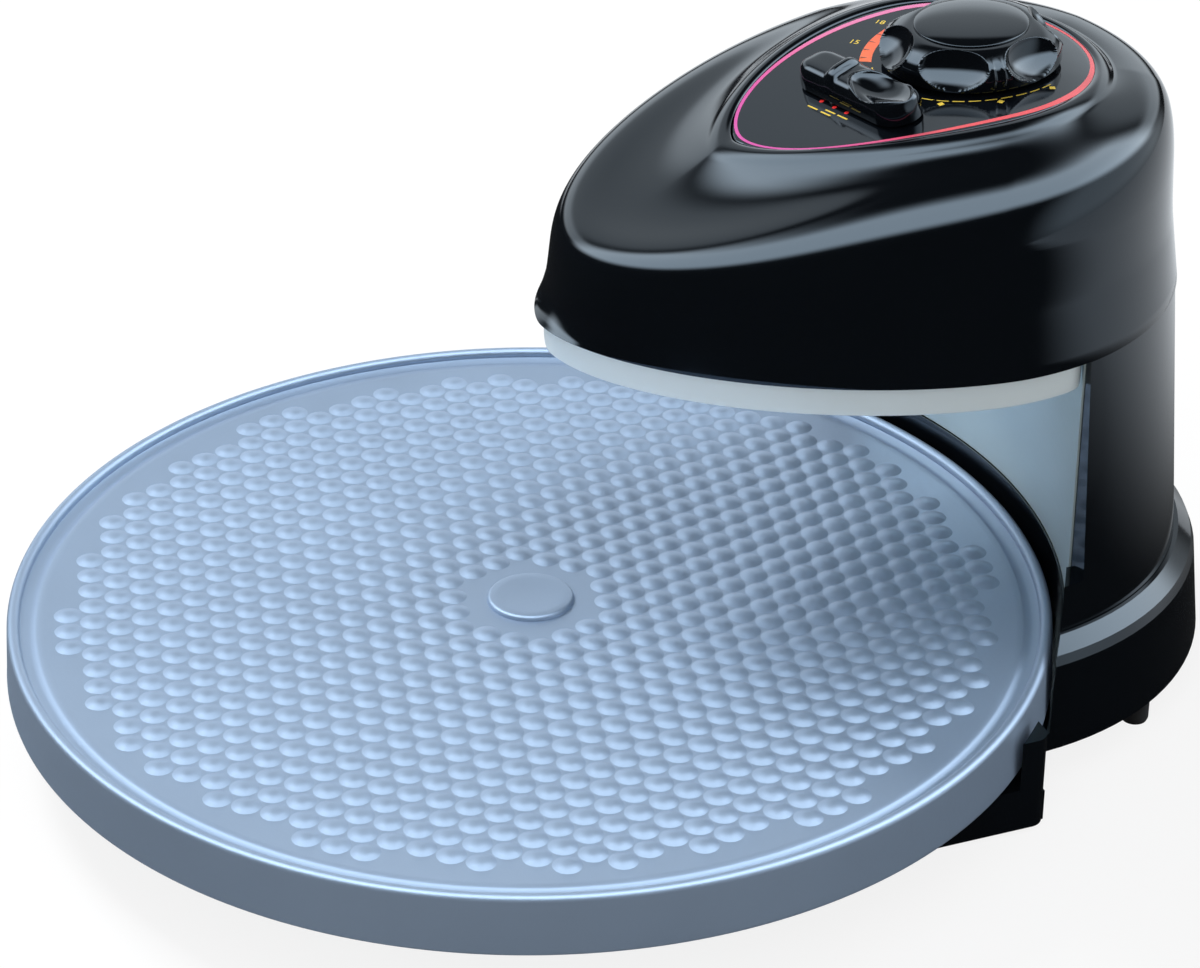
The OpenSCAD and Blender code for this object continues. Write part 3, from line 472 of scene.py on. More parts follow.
def panel_z(y):
    """Height of the crowned panel at a distance behind the pan's axis."""
    return CROWN_Z + np.sqrt(CROWN_R ** 2 - (y - CROWN_Y) ** 2)


def tilt_at(y):
    return math.asin((CROWN_Y - y) / CROWN_R)


def lift(plan, z):
    return np.concatenate([plan, np.broadcast_to(z, (len(plan),))[:, None]], 1)


def along(values, y):
    """A shape value that changes from the nose over the middle to the back, its bend softened."""
    off = np.clip(y / SHOULDER_SPAN, 0, 1) - 0.4
    soft = np.sqrt(off ** 2 + 0.13 ** 2)
    front = (values[1] - values[0]) / 0.4
    back = (values[2] - values[1]) / 0.6
    return values[1] + front * (off - soft) / 2 + back * (off + soft) / 2


def wall_top(y):
    return HEAD_Z + WALL_NOSE_H + (WALL_BACK_H - WALL_NOSE_H) * np.clip(y / WALL_RAMP, 0, 1)


def collar_h(y):
    return COLLAR_NOSE_H + (COLLAR_BACK_H - COLLAR_NOSE_H) * np.clip((y - COLLAR_NOSE) / COLLAR_RAMP, 0, 1)


def shoulder(u, inset=0.0, drop=0.0):
    """One ring of the shoulder: u climbs from the wall's top to the collar's foot."""
    a = wall_plan(inset)
    b = collar_egg(inset)
    v = 1 - u
    y = wall_egg(inset)[:, 1]
    reach = along(SHOULDER_REACH, y)
    t = 3 * u * u * v * (1 - reach) + u ** 3
    f = 3 * u * v * v * along(SHOULDER_RISE, y) + 3 * u * u * v * (1 - along(SHOULDER_SLOPE, y) * reach) + u ** 3
    z0 = wall_top(y)
    z1 = panel_z(b[:, 1]) - collar_h(b[:, 1]) - drop
    return lift(a + (b - a) * t[:, None], z0 + (z1 - z0) * f)


def collar(u, share, rise):
    """One ring of the cushion collar: u runs from its foot to the panel's edge."""
    p = collar_egg(0) + (panel_egg(0) - collar_egg(0)) * u
    return lift(p, panel_z(p[:, 1]) - collar_h(p[:, 1]) * share + rise)


def make_head():
    """The moulded head: skirt, leaning wall, shoulder, cushion collar and panel ledge."""
    foot = [lift(head_egg(SHELL_T), HEAD_Z), lift(head_egg(0.45), HEAD_Z), lift(head_egg(0.1), HEAD_Z + 0.1)]
    top = wall_plan(0)
    height = wall_top(wall_egg(0)[:, 1]) - HEAD_Z
    flare = [lift(head_egg(0), HEAD_Z + 0.3)]
    for t in (0.3, 0.6, 0.85):
        flare.append(lift(head_egg(0) * (1 - t) + top * t, HEAD_Z + height * t + 5.5 * t * t * (1 - height / WALL_BACK_H)))
    climb = [shoulder(u) for u in np.linspace(0, 1, 49)]
    low_part = corner_cut(flare + climb[6:9], 3)
    rise = low_part + climb[9:]
    cushion = corner_cut([
        rise[-1], collar(0.12, 0.7, 0.1), collar(0.32, 0.25, 0.5), collar(0.6, 0, 0.9), collar(0.86, 0, 0.7),
        on_plane(panel_egg(0), 0), on_plane(panel_egg(0), -PANEL_DROP)], 2)
    under = PANEL_DROP + SHELL_T
    ledge = [on_plane(panel_egg(4), -PANEL_DROP), on_plane(panel_egg(4), -under),
             on_plane(panel_egg(-1), -under - COLLAR_BACK_H)]
    inside = [shoulder(u, SHELL_T, SHELL_T - 0.2) for u in np.linspace(1, 0, 13)[:-1]]
    inside.append(lift(wall_plan(SHELL_T), wall_top(wall_egg(SHELL_T)[:, 1]) - 0.5))
    rings = foot + rise + cushion[1:] + ledge + inside
    head = new_mesh("head_moulding", np.concatenate(rings), skin(rings, joined=True), 40)
    return dress(flip_if_inside_out(head), FINISH["shell_black"], "base", ["head_shell"])


def on_plane(plan, dz):
    """A plan line laid on the crowned panel, dz above it."""
    return lift(plan, panel_z(plan[:, 1]) + dz)


def make_panel():
    """The crowned glossy panel seated in the collar, its edge softly broken."""
    edge = panel_egg(PANEL_SEAT)
    heart = np.array([0, (PANEL_NOSE + PANEL_Y + PANEL_R) / 2])
    rings = [on_plane(heart + (edge - heart) * 0.04, -PANEL_T), on_plane(edge, -PANEL_T), on_plane(edge, -0.25),
             on_plane(panel_egg(PANEL_SEAT + 0.2), -0.04)]
    rings += [on_plane(heart + (panel_egg(PANEL_SEAT + 0.5) - heart) * share, 0) for share in np.linspace(1, 0.04, 40)]
    n = len(edge)
    last = (len(rings) - 1) * n
    tip = len(rings) * n
    hearts = on_plane(np.array([heart, heart]), 0) - [[0, 0, 0], [0, 0, PANEL_T]]
    faces = skin(rings)
    for i in range(n):
        faces.append((last + i, last + (i + 1) % n, tip))
        faces.append(((i + 1) % n, i, tip + 1))
    panel = new_mesh("panel_sheet", np.concatenate(rings + [hearts]), faces, 30)
    return dress(flip_if_inside_out(panel), FINISH["panel_face"], "base", ["control_panel"])


def tray_plan(inset):
    """The lip's plan: the egg cut off before the liner, its two back corners rounded."""
    plan = head_egg(3 + inset)
    reach = TRAY_R - inset
    far = np.hypot(plan[:, 0], plan[:, 1])
    plan = plan * np.minimum(1, reach / far)[:, None]
    for _ in range(6):
        plan = (plan + np.roll(plan, 1, 0) + np.roll(plan, -1, 0)) / 3
    return plan


def make_lip():
    """The bright reflector tray: a hemmed lip, a flange and a raised ceiling over the heater."""
    z0 = low("upper_reflector", 2)
    flange = HEAD_Z - 1
    top = high("upper_reflector", 2)
    hem = [lift(tray_plan(i), z0 + z) for i, z in ((0.0, 1.6), (0.12, 0.5), (0.7, 0.0), (1.4, 0.3), (1.6, 1.6), (0.9, 2.4))]
    outer = [lift(tray_plan(11.8), flange), lift(tray_plan(0.0), flange)] + hem
    inner = [lift(tray_plan(0.9), flange - 0.8), lift(tray_plan(12.2), flange - 0.8), lift(tray_plan(12.6), top - 0.8)]
    rings = [lift(tray_plan(12), top)] + outer + inner
    points = np.concatenate(rings)
    faces = skin(rings)
    n = len(rings[0])
    faces.append(tuple(range(n))[::-1])
    faces.append(tuple(range(len(points) - n, len(points))))
    lip = new_mesh("reflector_lip", points, faces, 35)
    return dress(flip_if_inside_out(lip), FINISH["lip_metal"], "base", ["upper_reflector"])


# The pan
BEAD_W = 4
STEP_W = 4.5
BEAD_R = BEAD_W / 2
SHEET = 1.2
BAND_R = PAN_R - BEAD_W - STEP_W
DIMPLE_PITCH = 9.35
DIMPLE_R = 4.6
DIMPLE_H = 1.2
DIMPLE_TURN = math.radians(46.8)
DIMPLE_ZONE = 0.915 * PAN_R
CAP_RING = 21


def make_pan():
    """The pan's sheet: floor, groove, rolled bead and skirt with a hemmed edge."""
    top = [(3.05, FLOOR_Z), (CAP_R + 2, FLOOR_Z), (DIMPLE_ZONE + 1.5, FLOOR_Z), (DIMPLE_ZONE + 2.5, FLOOR_Z + 0.25)]
    top += [(BAND_R - 1, FLOOR_Z + 0.25), (BAND_R, FLOOR_Z), (BAND_R + 1, FLOOR_Z - 0.7), (BAND_R + 2.6, FLOOR_Z - 0.6)]
    bead = arc(PAN_R - BEAD_R, RIM_Z - BEAD_R, BEAD_R, 200, 0, 18)
    skirt = [(PAN_R + 0.2, RIM_Z - 5), (PAN_OUT_R - 0.15, SKIRT_Z + 2.5), (PAN_OUT_R, SKIRT_Z + 1.2)]
    hem = arc(PAN_OUT_R - 0.7, SKIRT_Z + 0.7, 0.7, 0, -180, 6)
    under = [(PAN_R - SHEET, RIM_Z - BEAD_W), (BAND_R + 2, FLOOR_Z - 0.7 - SHEET), (BAND_R - 1, FLOOR_Z - SHEET), (3.05, FLOOR_Z - SHEET)]
    pan = turned("pan_sheet", top + bead + skirt + hem + under, 288, 50)
    return dress(flip_if_inside_out(pan), FINISH["pan_metal"], "pan", ["pan"])


def make_cap():
    """The low cap over the rivet, with a rounded edge and a shallow dish."""
    z = FLOOR_Z + 0.05
    top = high("pan_cap", 2)
    profile = [(0, top - 0.35), (CAP_R * 0.45, top - 0.3), (CAP_R * 0.72, top - 0.05)]
    profile += arc(CAP_R - 1.5, top - 1.3, 1.3, 80, 0, 6) + [(CAP_R - 0.1, z), (0, z)]
    cap = turned("rivet_cap", profile, 96)
    return dress(flip_if_inside_out(cap), FINISH["pan_metal"], "pan", ["pan_cap"])


def nodes_tree(name):
    """An empty Geometry Nodes tree with a geometry output."""
    tree = bpy.data.node_groups.new(name, "GeometryNodeTree")
    tree.interface.new_socket(name="Geometry", in_out="OUTPUT", socket_type="NodeSocketGeometry")
    tree.interface.new_socket(name="Geometry", in_out="INPUT", socket_type="NodeSocketGeometry")
    return tree


def add_node(tree, kind, settings=None, **inputs):
    made = tree.nodes.new(kind)
    for key, value in (settings or {}).items():
        setattr(made, key, value)
    for key, value in inputs.items():
        socket = made.inputs[key.replace("_", " ")]
        if isinstance(value, bpy.types.NodeSocket):
            tree.links.new(value, socket)
        else:
            socket.default_value = value
    return made


def points_tree(name, material):
    """A tree that puts one stamp, turned to each point's own angle, on every point of the mesh it is given."""
    tree = nodes_tree(name)
    tree.interface.new_socket(name="Stamp", in_out="INPUT", socket_type="NodeSocketObject")
    tree.interface.new_socket(name="Size", in_out="INPUT", socket_type="NodeSocketFloat")
    given = tree.nodes.new("NodeGroupInput")
    out = tree.nodes.new("NodeGroupOutput")
    stamp = add_node(tree, "GeometryNodeObjectInfo", Object=given.outputs["Stamp"])
    turn = add_node(tree, "GeometryNodeInputNamedAttribute", {"data_type": "FLOAT_VECTOR"}, Name="turn")
    spin = add_node(tree, "FunctionNodeEulerToRotation", Euler=turn.outputs[0])
    put = add_node(tree, "GeometryNodeInstanceOnPoints", Points=given.outputs["Geometry"], Instance=stamp.outputs["Geometry"],
                   Rotation=spin.outputs[0], Scale=given.outputs["Size"])
    real = add_node(tree, "GeometryNodeRealizeInstances", Geometry=put.outputs[0])
    paint = add_node(tree, "GeometryNodeSetMaterial", Geometry=real.outputs[0], Material=material)
    tree.links.new(paint.outputs[0], out.inputs[0])
    return tree


def stamp_on_points(name, stamp, points, turns, material, size=1.0):
    """Runs the tree over loose points and returns the result as a plain mesh object."""
    mesh = bpy.data.meshes.new(name + "_points")
    at = (np.asarray(points, float) + [0, PAN_AXIS_Y, 0]) * MM
    mesh.from_pydata(at.tolist(), [], [])
    turn = mesh.attributes.new("turn", "FLOAT_VECTOR", "POINT")
    turn.data.foreach_set("vector", np.asarray(turns, float).ravel())
    carrier = bpy.data.objects.new(name + "_points", mesh)
    bpy.context.scene.collection.objects.link(carrier)
    tree = points_tree(name + "_tree", material)
    modifier = carrier.modifiers.new("stamps", "NODES")
    modifier.node_group = tree
    ids = {item.name: item.identifier for item in tree.interface.items_tree if item.in_out == "INPUT"}
    modifier[ids["Stamp"]] = stamp
    modifier[ids["Size"]] = size
    result = bpy.data.meshes.new_from_object(carrier.evaluated_get(bpy.context.evaluated_depsgraph_get()))
    carrier.modifiers.remove(modifier)
    bpy.data.objects.remove(carrier)
    bpy.data.objects.remove(stamp)
    obj = bpy.data.objects.new(name, result)
    bpy.context.scene.collection.objects.link(obj)
    return obj


def make_dimples():
    """Raised dimples in hexagonal order over the cooking zone, clear of the centre ring."""
    profile = [(DIMPLE_R * t, DIMPLE_H * math.cos(math.pi / 2 * t ** 1.2) ** 1.2 - 0.03) for t in np.linspace(0, 1, 7)]
    stamp = turned("dimple", profile, 16, 80)
    stamp.data.transform(Matrix.Translation((0, -PAN_AXIS_Y * MM, 0)))
    points = []
    rows = int(DIMPLE_ZONE / (DIMPLE_PITCH * 0.866)) + 1
    for j in range(-rows, rows + 1):
        for i in range(-rows - 2, rows + 3):
            x = (i + (j % 2) / 2) * DIMPLE_PITCH
            y = j * DIMPLE_PITCH * 0.866
            if CAP_RING < math.hypot(x, y) < DIMPLE_ZONE - DIMPLE_R:
                points.append((x, y, FLOOR_Z))
    c, s = math.cos(DIMPLE_TURN), math.sin(DIMPLE_TURN)
    points = [(x * c - y * s, x * s + y * c, z) for x, y, z in points]
    dimples = stamp_on_points("pan_dimples", stamp, points, np.zeros((len(points), 3)), FINISH["pan_metal"])
    dimples.data.shade_smooth()
    return dress(dimples, FINISH["pan_metal"], "pan")


# Knobs, made level round the origin and then set on the panel
def on_panel(obj, y, turn=0.0):
    """Sets a piece made round the pan's axis at height 0 onto the panel, square to its crown."""
    back = Matrix.Translation((0, -PAN_AXIS_Y * MM, 0))
    spin = Matrix.Rotation(turn, 4, "Z")
    tilt = Matrix.Rotation(tilt_at(y), 4, "X")
    place = Matrix.Translation((0, (y + PAN_AXIS_Y) * MM, panel_z(y) * MM))
    obj.data.transform(place @ tilt @ spin @ back)
    return obj


def soft_min(a, b, k):
    h = np.clip(0.5 + 0.5 * (b - a) / k, 0, 1)
    return b * (1 - h) + a * h - k * h * (1 - h)


# The oval dishes: middle in the knob's half section, half sizes across, down and inwards, and how far out each sits
DISH_R = 24.2
DISH_Z = 6.3
DISH_HALF = (12.6, 9.4, 6.4)
DISH_OUT = 4.4


def make_timer_knob():
    """A domed knob with six oval thumb dishes in its flare, two pointer ridges and an upright skirt."""
    segments = 480
    a = np.linspace(0, 2 * np.pi, segments, endpoint=False)
    rim = KNOB_TOP_R - 0.2
    flare = [(rim + 0.5 + (KNOB_R - 0.5 - rim) * math.cos(t) ** 1.15, 4 + (KNOB_H - DOME_H - 4.3) * math.sin(t))
             for t in np.radians(np.linspace(0, 88, 70))]
    foot = [(KNOB_R - 2, KNOB_GAP), (KNOB_R - 0.3, KNOB_GAP), (KNOB_R, KNOB_GAP + 0.3)]
    foot += [(KNOB_R, z) for z in np.linspace(1.4, 3.8, 9)]
    side_top = KNOB_H - DOME_H
    dome = [(rim, side_top - 0.35), (rim, side_top - 0.1)]
    dome += [(rim * math.sin(t), side_top + DOME_H * math.cos(t) ** 1.2) for t in np.radians(np.linspace(84, 4, 30))]
    inner = [(KNOB_TOP_R - 3, KNOB_GAP + 0.3), (KNOB_TOP_R - 3, 6), (0.6, 6)]
    rings = [carve_ring(r, z, a) for r, z in inner[::-1] + foot + flare + dome]
    points = np.concatenate(rings + [[[0, 0, KNOB_H], [0, 0, 6]]])
    faces = skin(rings)
    last = (len(rings) - 1) * segments
    tip = len(rings) * segments
    for i in range(segments):
        k = (i + 1) % segments
        faces.append((last + i, last + k, tip))
        faces.append((k, i, tip + 1))
    knob = on_panel(new_mesh("timer_knob_moulding", points, faces, 40), TIMER_Y)
    return dress(flip_if_inside_out(knob), FINISH["knob_black"], "timer", ["timer_knob"])


def carve_ring(r, z, angles):
    """A ring of the knob, pushed in where an oval dish bites it and out along the pointer ridges."""
    radius = np.full(len(angles), float(r))
    if r > KNOB_TOP_R and z > 1.2:
        for side in (-1, 1):
            off = (angles - POINTER_A - side * math.radians(3.2) + np.pi) % (2 * np.pi) - np.pi
            fade = min(1, max(0, (KNOB_H - DOME_H - 1.6 - z) / 2)) * min(1, max(0, (z - 2.4) / 2))
            radius = radius + 0.7 * fade * np.exp(-(off * r / 0.45) ** 2)
        for i in range(DISHES):
            off = (angles - POINTER_A - 2 * np.pi * (i + 0.5) / DISHES + np.pi) % (2 * np.pi) - np.pi
            radius = dish_radius(radius, off, z)
    return np.stack([radius * np.cos(angles), radius * np.sin(angles), np.full(len(angles), float(z))], 1)


def dish_radius(radius, off, z):
    """The radius left by one oval dish, with a thin raised lip round its edge."""
    across, down, deep = DISH_HALF
    k = np.cos(off) / math.sqrt(2)
    m_down = (DISH_Z - DISH_R - z) / math.sqrt(2)
    m_deep = (z - DISH_Z - DISH_R) / math.sqrt(2) - DISH_OUT
    a = (np.sin(off) / across) ** 2 + (k / down) ** 2 + (k / deep) ** 2
    b = 2 * k * (m_down / down ** 2 + m_deep / deep ** 2)
    c = (m_down / down) ** 2 + (m_deep / deep) ** 2 - 1
    near = np.abs(off) < 1
    outside = a * radius ** 2 + b * radius + c
    below_dome = min(1, max(0, (KNOB_H - DOME_H - 1.0 - z) / 1.2))
    lip = 0.32 * np.exp(-(outside / 0.075) ** 2) * near * below_dome
    root = np.sqrt(np.clip(b * b - 4 * a * c, 0, None))
    bite = (-b - root) / (2 * a)
    cut = near & (root > 0) & (bite > 0) & (outside < 0)
    return np.where(cut, soft_min(radius, bite, 0.25), radius) + lip


def lever_half_width(x):
    """Half the selector's width: a short round end, straight flanks and a wider round wing."""
    low_r, high_r = BULB_W / 2, WING_W / 2
    low_x, high_x = low_r - BULB_L, WING_L - high_r
    flank = low_r + (high_r - low_r) * np.clip((x - low_x) / (high_x - low_x), 0, 1)
    round_low = np.sqrt(np.clip(low_r ** 2 - np.clip(low_x - x, 0, None) ** 2, 0, None))
    round_high = np.sqrt(np.clip(high_r ** 2 - np.clip(x - high_x, 0, None) ** 2, 0, None))
    return np.where(x < low_x, round_low, np.where(x > high_x, round_high, flank))


def make_selector_knob():
    """The selector: a short round end, a wing with one long oval dish and a fin across its pivot."""
    cols, rows = 181, 81
    turn = np.linspace(0, np.pi, cols)
    middle, half_l = (WING_L - BULB_L) / 2, (WING_L + BULB_L) / 2
    x = middle - half_l * np.cos(turn)
    end = np.abs(np.cos(turn))
    width = lever_half_width(x)
    grid = []
    for s in np.sin(np.linspace(-np.pi / 2, np.pi / 2, rows)):
        y = s * width
        crown = np.sqrt(np.clip(1 - abs(s) ** 5, 0, 1)) * np.sqrt(np.clip(1 - end ** 16, 0, 1))
        z = 2.6 + (LEVER_H - 3.0) * crown
        fin = 2.1 * np.exp(-((x + y * 0.1) / 1.9) ** 4) * np.clip(1 - abs(s) ** 3, 0, 1)
        r2 = ((x - 18.3) / 12.2) ** 2 + (y / 7.2) ** 2
        bite = 3.4 * np.clip(1 - r2, 0, 1) ** 0.75
        lip = 0.3 * np.exp(-((r2 - 1.0) / 0.10) ** 2) * crown
        grid.append(np.stack([x, y, z + fin - bite + lip], 1))
    top = np.array(grid)
    rim = np.concatenate([top[0], top[1:, -1], top[-1, -2::-1], top[-2:0:-1, 0]])
    points = [*top.reshape(-1, 3)]
    faces = []
    for j in range(rows - 1):
        for i in range(cols - 1):
            faces.append((j * cols + i, j * cols + i + 1, (j + 1) * cols + i + 1, (j + 1) * cols + i))
    index = [i for i in range(cols)] + [j * cols + cols - 1 for j in range(1, rows)]
    index += [(rows - 1) * cols + i for i in range(cols - 2, -1, -1)] + [j * cols for j in range(rows - 2, 0, -1)]
    start = len(points)
    points += [(px, py, KNOB_GAP) for px, py, pz in rim]
    n = len(rim)
    for i in range(n):
        k = (i + 1) % n
        faces.append((index[i], start + i, start + k, index[k]))
    faces.append(tuple(range(start, start + n)))
    lever = new_mesh("selector_lever", points, faces, 60)
    weld(lever)
    on_panel(lever, SELECTOR_Y, LEVER_A)
    return dress(flip_if_inside_out(lever), FINISH["knob_black"], "selector", ["selector_knob"])


def weld(obj):
    """Joins the points that fall together at the ends of a grid and shades the result again."""
    build = bmesh.new()
    build.from_mesh(obj.data)
    bmesh.ops.remove_doubles(build, verts=build.verts, dist=0.02 * MM)
    bmesh.ops.recalc_face_normals(build, faces=build.faces)
    build.to_mesh(obj.data)
    build.free()
    obj.data.shade_smooth()
    obj.data.set_sharp_from_angle(angle=math.radians(60))


# Prints on the panel
PRINT_H = 0.06


def print_strip(name, inner, outer, material, joined=True):
    """A thin printed strip between two plan lines, laid on the panel."""
    a, b = np.asarray(inner, float), np.asarray(outer, float)
    rings = [on_plane(a, PRINT_H / 2 - 0.02), on_plane(a, PRINT_H), on_plane(b, PRINT_H), on_plane(b, PRINT_H / 2 - 0.02)]
    points = np.concatenate(rings)
    faces = []
    n = len(a)
    for j in range(4):
        for i in range(n if joined else n - 1):
            k = (i + 1) % n
            up = (j + 1) % 4
            faces.append((j * n + i, j * n + k, up * n + k, up * n + i))
    strip = new_mesh(name, points, faces, 30)
    return dress(strip, material, "base")


def dial_point(radius, angle):
    return np.array([radius * math.cos(angle), TIMER_Y + radius * math.sin(angle)])


def dial_arc(r, start, end, steps=60):
    return np.array([dial_point(r, t) for t in np.radians(np.linspace(start, end, steps))])


def border_egg(inset):
    return egg(68 + inset, 140.6, 43.3 - inset, 1.89, 1.83)


def make_prints():
    """The border stripe, the timer's two scales and plain marks by the selector."""
    outer = border_egg(0)
    share = np.clip((outer[:, 1] - 68) / 90, 0, 1)
    side = outer[:, 0] / 43.3
    width = 0.9 + 1.5 * share - 0.5 * side * (1 - share)
    step = border_egg(1) - outer
    print_strip("border_stripe", outer + step * width[:, None], outer, INK["border"])
    print_strip("heat_band", dial_arc(30.6, 196, 245), dial_arc(34.4, 196, 243), INK["band"], False)
    print_strip("minute_line", dial_arc(30.4, 252, 386), dial_arc(30.8, 252, 386), INK["yellow"], False)
    ticks("minute_gaps", [(30.6, t) for t in np.arange(258, 386, 9.2)], (0.8, 1.2), FINISH["panel_face"], lift_by=0.02)
    ticks("band_ticks", [(32.5, t) for t in np.arange(203, 243, 9)], (3.8, 0.3), FINISH["panel_face"], lift_by=0.02)
    ticks("minute_diamonds", [(32.6, t) for t in (318, 350, 383)], (1.7, 1.7), INK["yellow"], math.radians(45))
    for text, radius, angle in (("15", 38.8, 223), ("18", 39.0, 201)):
        number(text, radius, angle)
    for i, (x, y) in enumerate(((-0.2, 95.4), (5.9, 96.9), (11.4, 98.4))):
        selector_mark(i, x, y)


def ticks(name, spots, size, material, turn=0.0, lift_by=0.0):
    """Small flat bars stamped round the timer's dial."""
    half_l, half_w = size[0] / 2, size[1] / 2
    corners = [(-half_l, -half_w), (half_l, -half_w), (half_l, half_w), (-half_l, half_w)]
    points = [(x, y - PAN_AXIS_Y, z) for z in (0, PRINT_H) for x, y in corners]
    faces = [(4, 5, 6, 7), (3, 2, 1, 0)] + [(i, (i + 1) % 4, (i + 1) % 4 + 4, i + 4) for i in range(4)]
    stamp = new_mesh(name + "_stamp", points, faces)
    places = []
    turns = []
    for r, t in spots:
        x, y = dial_point(r, math.radians(t))
        places.append((x, y, panel_z(y) + lift_by))
        turns.append((tilt_at(y), 0, math.radians(t) + turn))
    made = stamp_on_points(name, stamp, places, turns, material)
    return dress(made, material, "base")


def number(text, radius, angle):
    """A plain dial number, upright to the front."""
    curve = bpy.data.curves.new("number_" + text, "FONT")
    curve.body = text
    curve.size = 3.6 * MM
    curve.align_x = "CENTER"
    curve.align_y = "CENTER"
    curve.extrude = PRINT_H / 2 * MM
    holder = bpy.data.objects.new("number_" + text, curve)
    bpy.context.scene.collection.objects.link(holder)
    mesh = bpy.data.meshes.new_from_object(holder.evaluated_get(bpy.context.evaluated_depsgraph_get()))
    bpy.data.objects.remove(holder)
    x, y = dial_point(radius, math.radians(angle))
    place = Matrix.Translation((x * MM, (y + PAN_AXIS_Y) * MM, (panel_z(y) + PRINT_H / 2) * MM))
    mesh.transform(place @ Matrix.Rotation(tilt_at(y), 4, "X") @ Matrix.Rotation(math.radians(40), 4, "Z"))
    obj = bpy.data.objects.new("number_" + text, mesh)
    bpy.context.scene.collection.objects.link(obj)
    return dress(obj, INK["yellow"], "base")


def selector_mark(index, x, y):
    """A dot and bars that show which heater a position uses: the lower, both or the upper one."""
    slope = math.tan(LEVER_A)
    bars = {0: (-1,), 1: (-1, 1), 2: (1,)}[index]
    for bar in bars:
        line = np.array([(x + 1.6 + dx, y - 2.9 + bar * 0.8 + dx * slope) for dx in np.linspace(-2.2, 2.2, 5)])
        print_strip(f"selector_bar_{index}_{bar + 1}", line - [0, 0.28], line + [0, 0.28], INK["yellow"], False)
    dot = np.array([(x + 0.75 * math.cos(t), y + 0.75 * math.sin(t)) for t in np.linspace(0, 2 * np.pi, 16, endpoint=False)])
    print_strip(f"selector_dot_{index}", (dot - [x, y]) * 0.2 + [x, y], dot, INK["red"])


def finish_nodes():
    """Gives every CAD node that still shows its finish."""
    slots = {s["node"]: s["material_slot"] for s in frame["record"]["subparts"]}
    for name, obj in frame["nodes"].items():
        obj.data.materials.clear()
        obj.data.materials.append(FINISH[slots[name]])


# Camera, lights and floor
FOCAL = 3985.5
FRAME_W = 1200
DISTANCE = 7.66828 * 165
ELEVATION = math.radians(31.678)
YAW = math.radians(1.0014)
PITCH = math.radians(-1.5308)
ROLL = math.radians(0.1678)
VIEW_TURN = math.radians(20.5)


def make_camera():
    """The camera that took the photograph, turned into the object's own frame."""
    spot = Vector((0, -DISTANCE * math.cos(ELEVATION), DISTANCE * math.sin(ELEVATION)))
    ahead = -spot.normalized()
    right = Vector((1, 0, 0))
    up = right.cross(ahead)
    rows = Matrix((right, up, -ahead))
    aim = Matrix.Rotation(ROLL, 3, "Z") @ Matrix.Rotation(PITCH, 3, "X") @ Matrix.Rotation(YAW, 3, "Y") @ rows
    s, c = math.sin(VIEW_TURN), math.cos(VIEW_TURN)
    home = Matrix(((s, -c, 0), (c, s, 0), (0, 0, 1)))
    place = (home @ aim.transposed()).to_4x4()
    place.translation = (home @ spot + Vector((0, PAN_AXIS_Y, RIM_Z))) * MM
    data = bpy.data.cameras.new("camera")
    data.sensor_width = 36
    data.lens = FOCAL / FRAME_W * data.sensor_width
    camera = bpy.data.objects.new("camera", data)
    camera.matrix_world = place
    bpy.context.scene.collection.objects.link(camera)
    bpy.context.scene.camera = camera


def make_light(name, place, aim, size, power, colour=(1, 1, 1)):
    data = bpy.data.lights.new(name, "AREA")
    data.shape = "RECTANGLE"
    data.size, data.size_y = size
    data.energy = power
    data.color = colour
    lamp = bpy.data.objects.new(name, data)
    lamp.location = place
    lamp.rotation_euler = (Vector(aim) - Vector(place)).to_track_quat("-Z", "Y").to_euler()
    lamp.visible_glossy = False
    bpy.context.scene.collection.objects.link(lamp)


TO_CAMERA = (math.cos(VIEW_TURN), -math.sin(VIEW_TURN), 0)
TO_RIGHT = (math.sin(VIEW_TURN), math.cos(VIEW_TURN), 0)


def along_axis(g, where, axis):
    return g.node("ShaderNodeVectorMath", {"operation": "DOT_PRODUCT"}, {0: where, 1: axis}, output="Value")


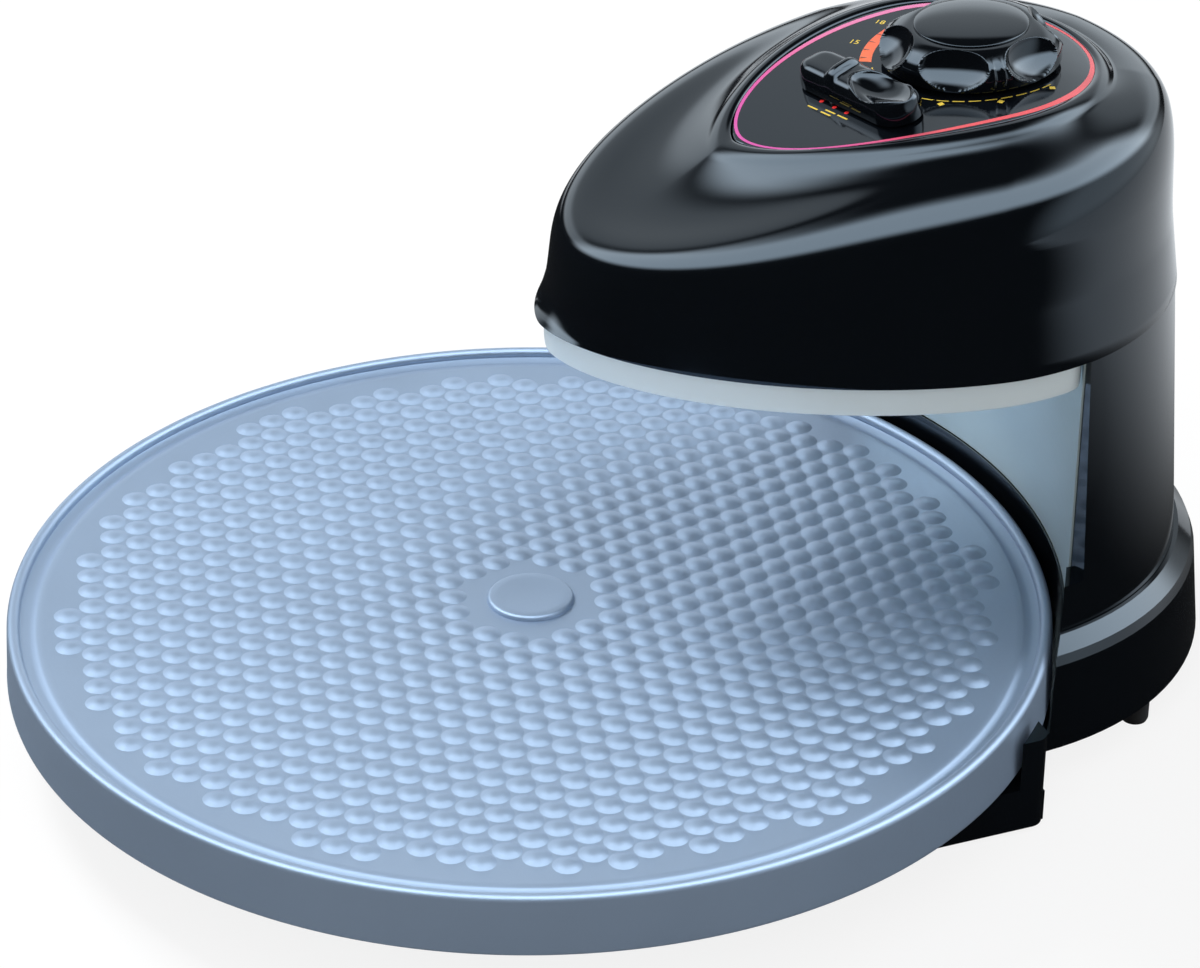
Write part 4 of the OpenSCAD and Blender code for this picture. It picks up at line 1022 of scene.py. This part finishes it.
def make_world():
    """White to the camera. In reflections: dark in front, a bright softbox band, dim above, white at the right."""
    world = bpy.data.worlds.new("studio")
    bpy.context.scene.world = world
    g = Graph(world)
    way = g.node("ShaderNodeTexCoord", output="Generated")
    near = along_axis(g, way, TO_CAMERA)
    right = along_axis(g, way, TO_RIGHT)
    up = along_axis(g, way, (0, 0, 1))
    rank = up - near * 0.5
    overhead = g.step(rank, 0.40, 0.62) * (1 - g.step(rank, 0.96, 1.10)) * g.step(near, -0.62, -0.40)
    horizon = g.step(rank, 0.50, 0.62) * (1 - g.step(rank, 0.76, 0.88)) * (1 - g.step(near, -0.62, -0.40))
    behind = g.step(near * -1, 0.55, 0.75) * g.step(rank, 0.76, 0.88) * (1 - g.step(rank, 1.01, 1.05))
    side = g.step(right, 0.6, 0.9) * g.step(up, -0.3, 0.1)
    glow = overhead * 6.0 + horizon * 1.6 + behind * 0.8 + side * 1.3 + 0.02
    rays = g.node("ShaderNodeLightPath").socket.node.outputs
    mirrored = Value(g, rays["Is Glossy Ray"])
    seen = Value(g, rays["Is Camera Ray"]).sum("MAXIMUM", Value(g, rays["Is Transmission Ray"]))
    level = seen + (1 - seen) * (mirrored * glow + (1 - mirrored) * 0.55)
    tint = g.mix(mirrored, (1.0, 1.0, 1.0), (0.86, 0.94, 1.0))
    light = g.node("ShaderNodeBackground", {}, {"Color": tint, "Strength": level})
    out = g.tree.nodes.new("ShaderNodeOutputWorld")
    g.tree.links.new(light.socket, out.inputs["Surface"])


def make_floor():
    """A white floor that keeps the object's soft shadow and mirrors black in front, white at the right."""
    half = 3.0
    mesh = bpy.data.meshes.new("floor")
    mesh.from_pydata([(-half, -half, 0), (half, -half, 0), (half, half, 0), (-half, half, 0)], [], [(0, 1, 2, 3)])
    floor = bpy.data.objects.new("floor", mesh)
    bpy.context.scene.collection.objects.link(floor)
    material, g = new_graph("Floor white")
    rays = g.node("ShaderNodeLightPath").socket.node.outputs
    seen = Value(g, rays["Is Camera Ray"])
    mirrored = Value(g, rays["Is Glossy Ray"])
    beyond = along_axis(g, g.places(), tuple(r * 0.8 - n * 0.6 for r, n in zip(TO_RIGHT, TO_CAMERA)))
    paper = g.node("ShaderNodeBsdfDiffuse", {}, {"Color": (0.92, 0.93, 0.94)})
    glow = g.node("ShaderNodeEmission", {}, {"Color": (1.0, 1.0, 1.0), "Strength": 1.0})
    dim = g.node("ShaderNodeEmission", {}, {"Color": (0.9, 0.95, 1.0), "Strength": 0.02 + g.step(beyond, 0.2, 0.45)})
    plain = g.node("ShaderNodeMixShader", {}, {0: seen * 0.85, 1: paper, 2: glow})
    g.node_out(g.node("ShaderNodeMixShader", {}, {0: mirrored, 1: plain, 2: dim}))
    floor.data.materials.append(material)


make_camera()
make_world()
make_floor()
make_light("key", (-1.12, -0.45, 1.15), (0, 0, 0.05), (0.5, 0.5), 24)
make_light("front", (1.2, -0.9, 0.9), (0, 0, 0.05), (1.0, 0.8), 5)
finish_nodes()
make_head()
make_panel()
make_lip()
make_pan()
make_cap()
make_dimples()
make_timer_knob()
make_selector_knob()
make_prints()
bpy.context.scene.view_settings.view_transform = "Standard"
